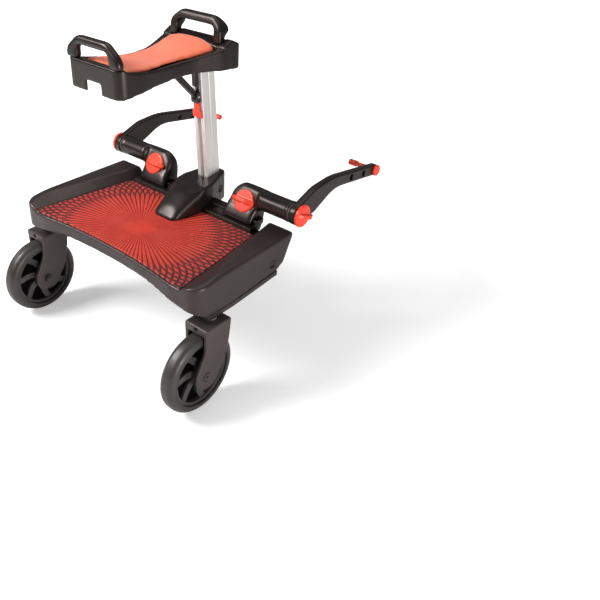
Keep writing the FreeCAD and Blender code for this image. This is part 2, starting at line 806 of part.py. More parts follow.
def deck_tray():
    plan = slab("XY", both_sides([
        (d.deck_half_rear, d.deck_rear, d.deck_corner), (d.deck_half_front, d.deck_front, 8),
    ]), 120, 240)
    slant = (d.deck_front - 24, d.deck_bottom_front + 6.5)
    side = slab("YZ", [
        (d.deck_rear - 5, d.rim_top_end - 1),
        (d.deck_rear - 5, d.corner_bottom + 2),
        (d.runner_rear - 3, d.deck_bottom, 12),
        (d.runner_knee, d.deck_bottom),
        (d.runner_front, d.deck_bottom_front),
        (slant[0], slant[1], 6),
        (d.deck_front, d.rim_top_front),
        (d.deck_rear + 38, d.rim_top_rear, 200),
    ], -200, 200)
    outer = shared(plan, side)
    edge = softened(outer, 4.5, lambda e: e.BoundBox.ZMin > number(d.rim_top_end) - 4)
    front = trough_section(d.trough_front, d.trough_run_front, d.rim_top_front + 0.5, trough_front_line)
    rear = trough_section(d.trough_rear, d.trough_run_rear, d.rim_top_rear - 1.5, trough_rear_line)
    trough = ruled(front, rear)
    inner = d.deck_wall
    hollow_plan = slab("XY", both_sides([
        (d.deck_half_rear - inner, d.deck_rear + inner + 1, d.deck_corner - inner),
        (d.deck_half_front - inner, d.deck_front),
    ]), 120, 200)
    hollow_side = slab("YZ", [
        (d.deck_rear + inner + d.rear_hollow + 2, floor_under),
        (d.deck_rear + inner + d.rear_hollow + 2, 130),
        (d.runner_front - 4, 130),
        (d.runner_front - 4, d.deck_bottom_front),
        (slant[0] - 6, slant[1]),
        (slant[0] + 6, floor_under),
    ], -200, 200)
    hollow = shared(hollow_plan, hollow_side)
    whole = less(edge, trough, rear_curve(0))
    tools = [hollow]
    limit = d.deck_half_front - inner
    for side_sign in (1, -1):
        front_rim = rim_space(d.trough_front, d.trough_run_front, d.rim_top_front, d.deck_front - 22, limit)
        rear_rim = rim_space(d.trough_rear - 7, d.trough_run_rear - 8, d.rim_top_rear - 3,
                             d.deck_rear + 48, limit)
        space = ruled(front_rim, rear_rim)
        if side_sign < 0:
            twin = doc.addObject("Part::Mirroring", "RimSpace")
            twin.Source = space
            twin.Normal = Vector(1, 0, 0)
            space = twin
        tools.append(space)
    lip = slab("XZ", [
        (-178, d.deck_bottom - 8), (178, d.deck_bottom - 8), (178, d.corner_bottom - 3),
        (90, d.lip_bottom, 200), (-90, d.lip_bottom, 200), (-178, d.corner_bottom - 3),
    ], d.deck_rear - 10, d.deck_rear + inner + d.rear_hollow + 3)
    tools.append(lip)
    shell = less(whole, *tools)
    ribs = []
    bosses = []
    half = d.rib_thick / 2
    for along in (-46, -4, 40):
        ribs.append(box((-d.deck_half_front + inner - 1, along - half, d.rib_bottom),
                        (d.deck_half_front - inner + 1, along + half, floor_under + 1)))
    for across in (-108, -36, 36, 108):
        ribs.append(box((across - half, d.deck_rear + inner + d.rear_hollow + 1, d.rib_bottom),
                        (across + half, slant[0] - 4, floor_under + 1)))
    bushing = d.stem_radius + d.bush_wall + d.shaft_gap
    holes = []
    for side_sign in (1, -1):
        wide = d.wheel_plane - 14
        wall = d.deck_half_front - inner / 2
        low, high = (wide, wall) if side_sign > 0 else (-wall, -wide)
        ribs.append(box((low, d.swivel_line - 13, d.deck_bottom), (high, d.swivel_line + 13, d.bush_top)))
        holes.append(rod(bushing, (side_sign * d.wheel_plane, d.swivel_line, 100), d.bush_top - 99, (0, 0, 1)))
        holes.append(rod(d.stem_ring_radius + d.run_gap, (side_sign * d.wheel_plane, d.swivel_line, d.bush_top),
                         d.stem_ring_height + 3, (0, 0, 1)))
        for along in screw_places:
            spot = (side_sign * d.screw_line, along, d.rib_bottom - 40)
            under = runner_under(along) + d.runner_depth + d.run_gap + 0.2
            bosses.append(rod(d.boss_radius, (spot[0], along, under), d.rim_top_front - under, (0, 0, 1)))
            holes.append(rod(d.screw_radius + d.shaft_gap, spot, d.screw_top + 1 - spot[2], (0, 0, 1)))
        gap = d.seat_gap
        plug = box((d.deck_half_front - 12, d.plug_middle - d.plug_length / 2 - gap,
                    d.plug_level - d.plug_height / 2 - gap),
                   (d.deck_half_front + 12, d.plug_middle + d.plug_length / 2 + gap,
                    d.plug_level + d.plug_height / 2 + gap))
        if side_sign < 0:
            put(plug, (-d.deck_half_front - 12, d.plug_middle - d.plug_length / 2 - gap,
                       d.plug_level - d.plug_height / 2 - gap))
        holes.append(plug)
    pillars = shared(fused(*bosses), whole)
    return node(less(fused(shell, pillars, *ribs), *holes), "deck_tray")


def side_plug(label):
    inner = d.deck_half_front - d.deck_wall
    cover = box((inner, d.plug_middle - d.plug_length / 2, d.plug_level - d.plug_height / 2),
                (d.deck_half_front - 0.8, d.plug_middle + d.plug_length / 2, d.plug_level + d.plug_height / 2))
    return node(group([cover]), label)


def socket_plan(extra):
    """Plan outline of the post socket."""
    return both_sides([
        (d.socket_nose_half + extra, d.socket_nose - extra, 14),
        (d.socket_half + extra, d.rail_rear, 40),
        (d.socket_half + extra, d.rail_step + 8, 20),
        (d.socket_front_half + extra, d.socket_front + extra, 6),
    ])


def grip_mat():
    gap = d.run_gap + d.seat_gap
    rear = d.deck_rear - 2
    sheet_plan = slab("XY", both_sides([
        (trough_half(rear) - gap, rear), (trough_half(d.mat_front) - gap, d.mat_front, 5),
    ]), d.floor_top, mat_top)
    foot = slab("XY", socket_plan(d.run_gap), d.floor_top - 5, mat_top + 5)
    return node(less(sheet_plan, rear_curve(d.mat_setback), foot), "grip_mat")


def rail_outline(gap):
    """Side outline of the front rail, grown by a gap."""
    return [
        (d.rail_rear - gap, d.floor_top), (d.rail_foot + gap * 1.1, d.floor_top),
        (d.rail_front + gap * 1.1, d.rail_top + gap), (d.rail_step - gap, d.rail_top + gap),
        (d.rail_step - gap, d.rail_ledge + gap), (d.rail_rear - gap, d.rail_ledge + gap),
    ]


def front_rail():
    return node(slab("YZ", rail_outline(0), -d.rail_half, d.rail_half), "front_rail")


def leaning(thing, at=(0, 0, 0)):
    """Places a piece drawn in the post's own frame."""
    lean = d.post_lean
    along = d.post_foot_line + at[1] * cosine(lean) - at[2] * sine(lean)
    level = d.post_foot_level + at[1] * sine(lean) + at[2] * cosine(lean)
    return put(thing, (at[0], along, level), LEAN)


def post_socket():
    plan = slab("XY", socket_plan(0), d.floor_top, 260)
    slope = slab("YZ", [
        (d.socket_nose - 6, d.floor_top),
        (d.socket_front + 5, d.floor_top),
        (d.socket_front + 5, d.socket_top_front, 3),
        (d.rail_rear + 6, d.socket_top_rear, 8),
        (d.socket_nose - 6, mat_top - 2),
    ], -60, 60)
    block = softened(shared(plan, slope), 2.5, lambda e: e.BoundBox.ZMin > number(d.floor_top) + 0.5
                     and e.BoundBox.ZMax - e.BoundBox.ZMin < 60 and e.BoundBox.DiagonalLength > 20
                     and e.BoundBox.ZMax > number(mat_top) + 4)
    rail = slab("YZ", rail_outline(d.seat_gap), -60, 60)
    hole = leaning(box((-d.post_width / 2 - d.seat_gap, -d.post_depth / 2 - d.seat_gap, 0),
                       (d.post_width / 2 + d.seat_gap, d.post_depth / 2 + d.seat_gap, 90)),
                   (-d.post_width / 2 - d.seat_gap, -d.post_depth / 2 - d.seat_gap, 0))
    bolt = rod(d.post_bolt_radius + d.shaft_gap, (-60, 0, 0), 120, (1, 0, 0))
    put(bolt, (-60, bolt_line, bolt_level), UP_X)
    sinks = [rod(d.post_bolt_head + d.run_gap, (start, bolt_line, bolt_level), 40, (1, 0, 0))
             for start in (d.post_bolt_half, -d.post_bolt_half - 40)]
    return node(less(block, rail, hole, bolt, *sinks), "post_socket")


bolt_line = d.post_foot_line - d.post_bolt_level * sine(d.post_lean)
bolt_level = d.post_foot_level + d.post_bolt_level * cosine(d.post_lean)


def post():
    half = d.post_width / 2
    deep = d.post_depth / 2
    slot = d.post_slot_width / 2
    bottom = d.post_slot_depth - deep
    bar = slab("XY", both_sides([
        (slot, bottom), (slot, -deep), (half, -deep, 1.5), (half, -2), (half - 0.8, -1.2),
        (half - 0.8, 1.2), (half, 2), (half, deep, 3),
    ]), 0, d.post_length)
    wall = d.post_wall
    hollow = box((wall - half, bottom + wall, -5), (half - wall, deep - wall, d.post_length + 5))
    bolt = rod(d.post_bolt_radius + d.shaft_gap, (-60, 0, d.post_bolt_level), 120, (1, 0, 0))
    return node(less(bar, hollow, bolt), "post", POST_FOOT, LEAN)


def post_bolt():
    half = d.post_bolt_half
    tall = d.post_bolt_head_height
    bolt = fused(rod(d.post_bolt_radius, (-half, 0, 0), half * 2, (1, 0, 0)),
                 rod(d.post_bolt_head, (half, 0, 0), tall, (1, 0, 0)),
                 rod(d.post_bolt_head, (-half - tall, 0, 0), tall, (1, 0, 0)))
    return node(bolt, "post_bolt", (0, bolt_line, bolt_level))


# Hinge head, slider, prop and latch, drawn in the post's own frame

lean_sine = sine(d.post_lean)
lean_cosine = cosine(d.post_lean)
hinge_back = (d.hinge_line - d.post_foot_line) * lean_cosine + (d.hinge_level - d.post_foot_level) * lean_sine
hinge_up = (d.hinge_level - d.post_foot_level) * lean_cosine - (d.hinge_line - d.post_foot_line) * lean_sine
foot_back = -d.post_depth / 2 - d.prop_foot_depth
slot_face = -d.post_depth / 2 - d.run_gap
tongue_half = d.post_slot_width / 2 - 0.3
tongue_end = d.post_slot_depth - d.post_depth / 2 - 0.5


def post_head():
    half = d.post_width / 2
    deep = d.post_depth / 2
    wall = d.post_wall + d.seat_gap
    cap = slab("YZ", [
        (-deep, d.post_length), (deep, d.post_length), (deep, d.post_length + 9, 6),
        (hinge_back, hinge_up + d.hinge_boss_radius), (hinge_back, hinge_up - d.hinge_boss_radius + 2),
    ], -half, half)
    boss = rod(d.hinge_boss_radius, (-half, hinge_back, hinge_up), d.post_width, (1, 0, 0))
    plug = box((wall - half, d.post_slot_depth - deep + wall, d.post_length - d.head_plug),
               (half - wall, deep - wall, d.post_length + 1))
    stop = box((-tongue_half, -deep - d.stop_depth, d.stop_low), (tongue_half, tongue_end, d.post_length + 1))
    pin = rod(d.hinge_pin_radius + d.shaft_gap, (-60, hinge_back, hinge_up), 120, (1, 0, 0))
    return node(less(fused(cap, boss, plug, stop), pin), "post_head", POST_FOOT, LEAN)


def hinge_pin():
    half = d.cheek_inner + d.cheek_thick
    pin = fused(rod(d.hinge_pin_radius, (-half - 1, 0, 0), half * 2 + 2, (1, 0, 0)),
                rod(d.hinge_pin_radius + 2, (half + d.run_gap, 0, 0), 2, (1, 0, 0)),
                rod(d.hinge_pin_radius + 2, (-half - d.run_gap - 2, 0, 0), 2, (1, 0, 0)))
    return node(pin, "hinge_pin", (0, d.hinge_line, d.hinge_level))


lug_low = d.prop_foot_height - d.slider_lug_below
lug_high = d.prop_foot_height + d.slider_lug_above
stud_level = lug_low - d.latch_height / 2


def prop_slider():
    lug_rear = foot_back - d.prop_pin_radius - 1.5
    lug = box((-d.slider_lug_half, lug_rear, lug_low), (d.slider_lug_half, slot_face, lug_high))
    tongue = box((-tongue_half, slot_face - 1, d.slider_tail), (tongue_half, tongue_end, lug_high))
    relief = box((-d.slider_lug_half, slot_face - 1 - d.run_gap, d.slider_tail - 1),
                 (d.slider_lug_half, slot_face + d.run_gap, lug_low))
    space = d.prop_half_width + d.run_gap
    reach = d.prop_half_height + d.run_gap
    fork_slot = box((-space, lug_rear - 1, d.prop_foot_height - reach),
                    (space, foot_back + reach, lug_high + reach))
    pin = rod(d.prop_pin_radius + d.shaft_gap, (-60, foot_back, d.prop_foot_height), 120, (1, 0, 0))
    run = d.latch_stud_radius + d.shaft_gap
    track = box((-run, slot_face - 3, stud_level - d.latch_travel - run - d.run_gap),
                (run, 0, stud_level + run))
    whole = less(fused(lug, tongue), relief, fork_slot, pin, track)
    return node(whole, "prop_slider", POST_FOOT, LEAN)


def prop_foot_pin():
    half = d.slider_lug_half
    pin = rod(d.prop_pin_radius, (-half, foot_back, d.prop_foot_height), half * 2, (1, 0, 0))
    return node(group([pin]), "prop_foot_pin", POST_FOOT, LEAN)


def latch():
    top = lug_low - d.run_gap
    low = top - d.latch_height
    face = slot_face - d.run_gap
    wide = box((-d.latch_half, face - d.latch_depth, low), (d.latch_half, face, low + d.latch_height * 0.45))
    neck = box((-d.latch_neck_half, face - d.latch_depth, low), (d.latch_neck_half, face, top))
    stud = rod(d.latch_stud_radius, (0, face - 1, stud_level), tongue_end - face + 0.5, (0, 1, 0))
    return node(fused(wide, neck, stud), "latch", POST_FOOT, LEAN)


FOOT = (d.post_foot_line + foot_back * lean_cosine - d.prop_foot_height * lean_sine,
        d.post_foot_level + foot_back * lean_sine + d.prop_foot_height * lean_cosine)
prop_run = number(d.prop_top_line - FOOT[0])
prop_rise = number(d.prop_top_level - FOOT[1])
prop_length = math.hypot(prop_run, prop_rise)
PROP_TURN = FreeCAD.Rotation(Vector(1, 0, 0), math.degrees(math.atan2(prop_rise, prop_run)))


def prop():
    tall = d.prop_half_height
    wide = d.prop_half_width
    end = tall - 0.05
    bar = slab("YZ", [
        (-tall, -tall, end), (prop_length + tall, -tall, end),
        (prop_length + tall, tall, end), (-tall, tall, end),
    ], -wide, wide)
    hole = d.prop_pin_radius + d.shaft_gap
    low = rod(hole, (-60, 0, 0), 120, (1, 0, 0))
    high = rod(hole, (-60, prop_length, 0), 120, (1, 0, 0))
    return node(less(bar, low, high), "prop", (0, FOOT[0], FOOT[1]), PROP_TURN)


def prop_top_pin():
    half = d.cheek_inner + d.cheek_thick
    pin = rod(d.prop_pin_radius, (-half, 0, 0), half * 2, (1, 0, 0))
    return node(group([pin]), "prop_top_pin", (0, d.prop_top_line, d.prop_top_level))


# Saddle


def seat_frame():
    inner = d.cheek_inner
    outer = inner + d.cheek_thick
    cheek = slab("YZ", [
        (d.cheek_rear, d.cheek_bottom, 5), (d.cheek_front, d.cheek_bottom, 8),
        (d.cheek_front, seat_plate_under), (d.cheek_rear, seat_plate_under),
    ], -outer, outer)
    space = box((-inner, d.cheek_rear - 5, 300), (inner, d.cheek_front + 5, bridge_under))
    pin = rod(d.hinge_pin_radius + d.shaft_gap, (-60, d.hinge_line, d.hinge_level), 120, (1, 0, 0))
    reach = d.prop_pin_radius + d.run_gap
    window = box((-60, d.prop_top_line - reach, d.prop_top_level - d.window_below - reach),
                 (60, d.prop_top_line + d.window_length + reach, d.prop_top_level + d.window_above + reach))
    side = d.prop_half_width + 0.5
    slot = box((-side, d.prop_top_line, 300),
               (side, d.prop_top_line + d.window_length + d.prop_half_height + 1, seat_plate_under))
    tools = [space, pin, window, slot] + [seat_screw(spot, d.shaft_gap) for spot in seat_screw_places]
    return node(less(cheek, *tools), "seat_frame")


seat_screw_places = ((-7.0, 36.0), (7.0, 36.0), (-7.0, 88.0), (7.0, 88.0))


def seat_screw(spot, gap):
    """Shank of one saddle screw, or its hole with a gap."""
    return rod(d.screw_radius * 0.8 + gap, (spot[0], spot[1], bridge_under), d.bridge_thick + 2.5, (0, 0, 1))


def seat_screws():
    screws = []
    for spot in seat_screw_places:
        head = rod(d.screw_head_radius * 0.8, (spot[0], spot[1], bridge_under - 1.5), 1.5, (0, 0, 1))
        screws.append(fused(head, seat_screw(spot, 0)))
    return node(group(screws), "seat_screws")


def seat_plan(inset):
    """Plan outline of the saddle, drawn in by an inset."""
    return both_sides([
        (d.seat_half_rear - inset, d.seat_rear + inset, 14 - number(inset)),
        (d.seat_half_rear - 1 - inset, -40, 60),
        (d.seat_half_waist - inset, 36, 110),
        (d.seat_half_front - inset, 98, 50),
        (d.seat_half_front - inset, d.seat_front - 12 - inset * 0.5, 10),
        (d.seat_half_front - 16 - inset, d.seat_front - inset, 12),
    ])


def pad_halves():
    """Stations of the pad: place along, half-width, height of crown."""
    return (
        (d.pad_rear, d.pad_half_rear - 2.5, d.pad_crown - 2),
        (d.pad_rear + 6, d.pad_half_rear, d.pad_crown),
        (d.pad_rear + 32, d.pad_half_rear - 1, d.pad_crown - d.pad_dip * 0.55),
        (d.pad_rear + 72, d.pad_half_waist + 2.5, d.pad_crown - d.pad_dip),
        (d.pad_rear + 104, d.pad_half_waist, d.pad_crown - d.pad_dip * 0.92),
        (d.pad_front - 30, d.pad_half_front - 7, d.pad_crown - d.pad_dip * 0.5),
        (d.pad_front - 6, d.pad_half_front, d.pad_crown),
        (d.pad_front, d.pad_half_front - 2.5, d.pad_crown - 2),
    )


def pad_wire(along, half, crown, base):
    """Pad cross-section: flat base, drawn-in sides and a crowned top."""
    side = crown - number(d.pad_side)
    foot = half - 2.0
    brow = half - 1.5
    corners = [(-foot, 0), (foot, 0), (half, side * 0.5), (brow, side), (0, crown),
               (-brow, side), (-half, side * 0.5)]
    spots = [Vector(u, along, base + v) for u, v in corners]
    edges = [
        Part.LineSegment(spots[0], spots[1]).toShape(),
        Part.Arc(spots[1], spots[2], spots[3]).toShape(),
        Part.Arc(spots[3], spots[4], spots[5]).toShape(),
        Part.Arc(spots[5], spots[6], spots[0]).toShape(),
    ]
    return Part.Wire(edges)


def seat_pad():
    base = number(d.seat_plate_top + d.seat_gap)
    wires = [pad_wire(number(a), number(w), number(c), base) for a, w, c in pad_halves()]
    pad = doc.addObject("Part::Feature", "Pad")
    pad.Shape = Part.makeLoft(wires, True, False)
    return node(pad, "seat_pad")


def pad_recess():
    """Room for the pad in the saddle's top."""
    grow = d.run_gap + 1.2
    places = pad_halves()
    rear, front = places[1], places[6]
    return slab("XY", both_sides([
        (rear[1] + grow, d.pad_rear - grow, 4), (d.pad_half_rear + grow, d.pad_rear + 34, 50),
        (d.pad_half_waist + grow - 1.5, d.pad_rear + 96, 90),
        (front[1] + grow, d.pad_front - 10, 30), (front[1] + grow, d.pad_front + grow, 4),
    ]), d.seat_plate_top, 500)


def handle_pegs(half, along, level, gap):
    """Two pegs that hold a handle's feet, or their holes with a gap."""
    return [rod(d.peg_radius + gap, (side * half, along, level - d.peg_length), d.peg_length + 6, (0, 0, 1))
            for side in (1, -1)]


rear_handle_line = d.seat_rear + d.handle_bar / 2
rear_peg_half = (d.rear_handle_half + d.rear_window_half) / 2
front_peg_half = (d.front_handle_half + d.front_window_half) / 2
front_peg_line = d.front_handle_rear + 6


def seat_shell():
    plan = slab("XY", seat_plan(0), 400, 480)
    side = slab("YZ", [
        (d.seat_rear - 2, d.skirt_rear), (-20, d.skirt_middle - 2, 200), (62, d.skirt_middle + 0.5, 200),
        (d.seat_front + 2, d.skirt_front), (d.seat_front + 2, d.seat_rim - 2, 3),
        (d.front_handle_rear + 12, d.seat_ridge, 5), (d.pad_front + 3, d.seat_back_top, 3),
        (d.pad_front + 2, d.seat_rim), (16, d.seat_rim - d.seat_dip, 340), (d.pad_rear - 2, d.seat_rim),
        (d.pad_rear - 3, d.seat_back_top), (d.seat_rear - 2, d.seat_back_top),
    ], -100, 100)
    block = shared(plan, side)
    under = slab("XY", seat_plan(d.seat_wall), 380, seat_plate_under)
    notch = box((-d.notch_half, d.seat_rear - 5, 380), (d.notch_half, d.seat_rear + d.seat_wall + 1, d.notch_top))
    tools = [under, pad_recess(), notch]
    tools += handle_pegs(rear_peg_half, rear_handle_line, d.seat_back_top, d.shaft_gap)
    tools += handle_pegs(front_peg_half, front_peg_line, d.seat_back_top, d.shaft_gap)
    tools += [seat_screw(spot, d.shaft_gap) for spot in seat_screw_places]
    tools.append(front_handle_seat())
    return node(less(block, *tools), "seat_shell")


def front_handle_seat():
    """Flat landings for the front handle's feet."""
    gap = d.seat_gap
    low = d.front_window_half - gap
    high = d.front_handle_half + gap
    pads = []
    for side in (1, -1):
        first, last = (low, high) if side > 0 else (-high, -low)
        pads.append(box((first, d.front_handle_rear - 2, d.seat_back_top),
                        (last, d.front_handle_front + 2, d.seat_back_top + 60)))
    return fused(*pads)


def arch(half, top, window_half, window_top, foot, shoulder, start, stop):
    """A handle loop standing on two feet, seen along Y."""
    outer = slab("XZ", both_sides([
        (half, foot), (half, top - shoulder, shoulder), (half - shoulder * 1.3, top, shoulder),
    ]), start, stop)
    inner = slab("XZ", both_sides([
        (window_half, foot - 5), (window_half, window_top, 8),
    ]), start - 5, stop + 5)
    return less(outer, inner)


def rear_handle():
    loop = arch(d.rear_handle_half, d.rear_handle_top, d.rear_window_half, d.rear_window_top,
                d.seat_back_top, 18, d.seat_rear, d.seat_rear + d.handle_bar)
    loop = softened(loop, 4, lambda e: e.BoundBox.ZMin > number(d.seat_back_top) + 1
                    and e.BoundBox.YLength < 0.01)
    pegs = handle_pegs(rear_peg_half, rear_handle_line, d.seat_back_top, 0)
    return node(fused(loop, *pegs), "rear_handle")


def front_handle():
    loop = arch(d.front_handle_half, d.front_handle_top, d.front_window_half, d.front_window_top,
                d.seat_back_top, 14, d.front_handle_rear - 4, d.front_handle_front + 4)
    rear = d.front_handle_rear
    front = d.front_handle_front
    lean = slab("YZ", [
        (rear, d.seat_back_top), (rear + 12, d.seat_back_top), (rear + 12, d.seat_ridge + 1, 2),
        (front, d.seat_ridge + 8, 4), (front, d.front_handle_top - 8, 6),
        (front - 6, d.front_handle_top, 5), (rear + 5, d.front_handle_top, 6), (rear, d.seat_ridge + 8, 8),
    ], -100, 100)
    pegs = handle_pegs(front_peg_half, front_peg_line, d.seat_back_top, 0)
    return node(fused(shared(loop, lean), *pegs), "front_handle")


# Stroller arms


def elbow(label):
    rail_gap = d.run_gap
    foot_rear = d.knob_face_line - (d.knob_face_level - d.rail_ledge) * cosine(d.knob_face_angle) / sine(
        d.knob_face_angle)
    top = d.tube_level + d.tube_radius
    tall = (top - 4 - d.knob_face_level) * cosine(d.knob_face_angle) / sine(d.knob_face_angle)
    front = d.tube_line + d.tube_radius - 1.7
    side = slab("YZ", [
        (foot_rear, d.rail_ledge + rail_gap),
        (d.rail_front - 2, d.rail_ledge + rail_gap),
        (d.rail_front - 2, d.floor_top + 4),
        (d.rail_front + 7, d.floor_top + 4, 2),
        (front, d.tube_level - 12, 14),
        (front, top - 2, 8),
        (d.knob_face_line + tall, top - 4, 6),
    ], d.elbow_inner, d.elbow_outer)
    face = slab("XZ", [
        (d.elbow_inner, d.floor_top), (d.elbow_outer, d.floor_top), (d.elbow_outer, top + 5),
        (d.elbow_inner + 34, top + 5), (d.elbow_inner + 9, top - 16, 18),
    ], 60, 160)
    block = shared(side, face)
    start = d.knob_across + d.elbow_knob_radius + 6
    tube = rod(d.tube_radius, (start, d.tube_line, d.tube_level), d.tube_end - start, (1, 0, 0))
    collar = rod(d.collar_radius, (d.tube_end - d.collar_width, d.tube_line, d.tube_level),
                 d.collar_width, (1, 0, 0))
    rail = slab("YZ", rail_outline(rail_gap), d.elbow_inner - 20, d.elbow_outer + 20)
    stud = rod(d.stud_radius + d.shaft_gap, (0, 0, -d.stud_length - 1), d.stud_length + 2, (0, 0, 1))
    put(stud, knob_spot(-d.stud_length - 1), KNOB_TURN)
    bolt = rod(d.stud_radius + d.shaft_gap, (d.tube_end - d.stud_length, d.tube_line, d.tube_level),
               d.stud_length + 1, (1, 0, 0))
    return node(less(fused(block, tube, collar), rail, stud, bolt), label)


KNOB_TURN = FreeCAD.Rotation(Vector(1, 0, 0), number(d.knob_face_angle))


def knob_spot(out):
    """A point on the clamp knob's axis, out from the elbow's face."""
    return (d.knob_across, d.knob_face_line - out * sine(d.knob_face_angle),
            d.knob_face_level + out * cosine(d.knob_face_angle))


def knob_form(radius, bore_depth):
    """A round knob with a grip fin, standing on its base along Z."""
    disc = rod(radius, (0, 0, 0), d.knob_thick, (0, 0, 1))
    disc = softened(disc, 1.5, lambda e: e.BoundBox.ZMin > number(d.knob_thick) - 0.1)
    half = d.knob_fin_thick / 2
    fin = slab("XZ", [
        (-radius + 2, d.knob_thick - 1), (radius - 1, d.knob_thick - 3.5), (radius + 4, d.knob_thick - 3.5, 1),
        (radius + 4, d.knob_thick + 2, 2), (radius - 5, d.knob_thick + d.knob_fin, 8),
        (-radius + 10, d.knob_thick + d.knob_fin, 10),
    ], -half, half)
    bore = rod(d.stud_radius + d.shaft_gap, (0, 0, -1), bore_depth + 1, (0, 0, 1))
    return less(fused(disc, fin), bore)


def clamp_knob(label):
    turn = KNOB_TURN.multiply(FreeCAD.Rotation(Vector(0, 0, 1), 180))
    return node(knob_form(d.elbow_knob_radius, d.knob_thick), label, knob_spot(d.run_gap), turn)


def clamp_stud(label):
    length = d.stud_length + d.knob_thick
    bar = rod(d.stud_radius, (0, 0, 0), length, (0, 0, 1))
    return node(group([bar]), label, knob_spot(-d.stud_length + d.run_gap), KNOB_TURN)


def friction_disc(label):
    ring = less(rod(d.tube_radius - 1, (d.tube_end, d.tube_line, d.tube_level), d.disc_thick, (1, 0, 0)),
                rod(d.stud_radius + d.shaft_gap, (d.tube_end - 1, d.tube_line, d.tube_level), 9, (1, 0, 0)))
    return node(ring, label)


def arm_stud(label):
    start = d.tube_end - d.stud_length
    bar = rod(d.stud_radius, (start, d.tube_line, d.tube_level), arm_outer + d.knob_thick - start, (1, 0, 0))
    return node(group([bar]), label)


def tip_hole(index):
    """A cross hole in the arm, counted back from the tip."""
    along = tip_line - d.hole_pitch * index
    level = tip_level + d.hole_pitch * d.arm_slope * index
    return rod(d.hitch_radius + d.shaft_gap, (arm_inner - 5, along, level), d.arm_thick + 10, (1, 0, 0))


def arm(label):
    line = d.tube_line
    level = d.tube_level
    tall = d.arm_half_height
    bend = 86
    bend_up = d.arm_rise + (d.arm_reach - bend) * d.arm_slope
    bar = slab("YZ", [
        (line - 4, level + d.arm_hub_radius - 0.6),
        (line + 2, level - 3),
        (line + 12, level - 10.5),
        (line + 34, level - 8, 20),
        (line + bend - 2, level + bend_up - tall - 0.5, 70),
        (tip_line + tall, tip_level - tall - tall * d.arm_slope, 8),
        (tip_line + tall, tip_level + tall - tall * d.arm_slope, 8),
        (line + bend - 4, level + bend_up + tall + 0.5, 150),
        (line + 36, level + bend_up + tall - 3, 60),
    ], arm_inner, arm_outer)
    hub = rod(d.arm_hub_radius, (arm_inner, line, level), d.arm_thick, (1, 0, 0))
    whole = softened(fused(bar, hub), 1.5, lambda e: e.BoundBox.XLength < 0.01)
    bolt = rod(d.stud_radius + d.shaft_gap, (arm_inner - 5, line, level), d.arm_thick + 10, (1, 0, 0))
    return node(less(whole, bolt, *[tip_hole(index) for index in range(3)]), label)


def end_knob(label):
    turn = UP_X.multiply(FreeCAD.Rotation(Vector(0, 0, 1), 70))
    return node(knob_form(d.end_knob_radius, d.knob_thick), label,
                (arm_outer + d.run_gap, d.tube_line, d.tube_level), turn)


def hitch_pin(label):
    head = arm_outer + d.run_gap
    end = arm_inner - d.hitch_inside
    neck = end + d.hitch_bulb
    neck_stop = arm_inner - 2
    pin = turned([
        (end, 0), (head + d.hitch_head_thick, 0), (head + d.hitch_head_thick, d.hitch_head_radius, 1.5),
        (head, d.hitch_head_radius), (head, d.hitch_radius), (neck_stop, d.hitch_radius),
        (neck_stop - 3, d.hitch_neck_radius), (neck + 3, d.hitch_neck_radius),
        (neck, d.hitch_radius), (end, d.hitch_radius, 1.5),
    ])
    return node(pin, label, (0, tip_line, tip_level))


for make, title in (
    (tyre, "tyre"), (wheel, "wheel"), (bearings, "wheel_bearings"), (axle_bolt, "axle_bolt"),
    (axle_nut, "axle_nut"), (fork, "castor_fork"), (stem, "castor_stem"), (swivel_bush, "swivel_bush"),
    (side_runner, "side_runner"), (side_plug, "side_plug"), (elbow, "elbow"), (clamp_knob, "clamp_knob"),
    (clamp_stud, "clamp_stud"), (friction_disc, "friction_disc"), (arm_stud, "arm_stud"), (arm, "arm"),
    (end_knob, "end_knob"), (hitch_pin, "hitch_pin"),
):
    pair(make, title)

for make in (
    deck_tray, runner_screws, grip_mat, front_rail, post_socket, post, post_bolt, post_head, hinge_pin,
    prop_slider, prop_foot_pin, latch, prop, prop_top_pin, seat_frame, seat_screws, seat_shell, seat_pad,
    rear_handle, front_handle,
):
    make()

doc.recompute()

for thing in doc.Objects:
    if "Invalid" in thing.State or "Error" in thing.State:
        raise ValueError("broken object " + thing.Name + " " + thing.Label)
for thing in finished:
    if thing.Shape.isNull() or not thing.Shape.isValid():
        raise ValueError("no sound shape for " + thing.Label)

os.makedirs("parts", exist_ok=True)
for thing in finished:
    thing.Shape.exportStep("parts/" + thing.Label + ".step")
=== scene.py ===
import json
import math

import bmesh
import bpy
import numpy as np
from mathutils import Matrix

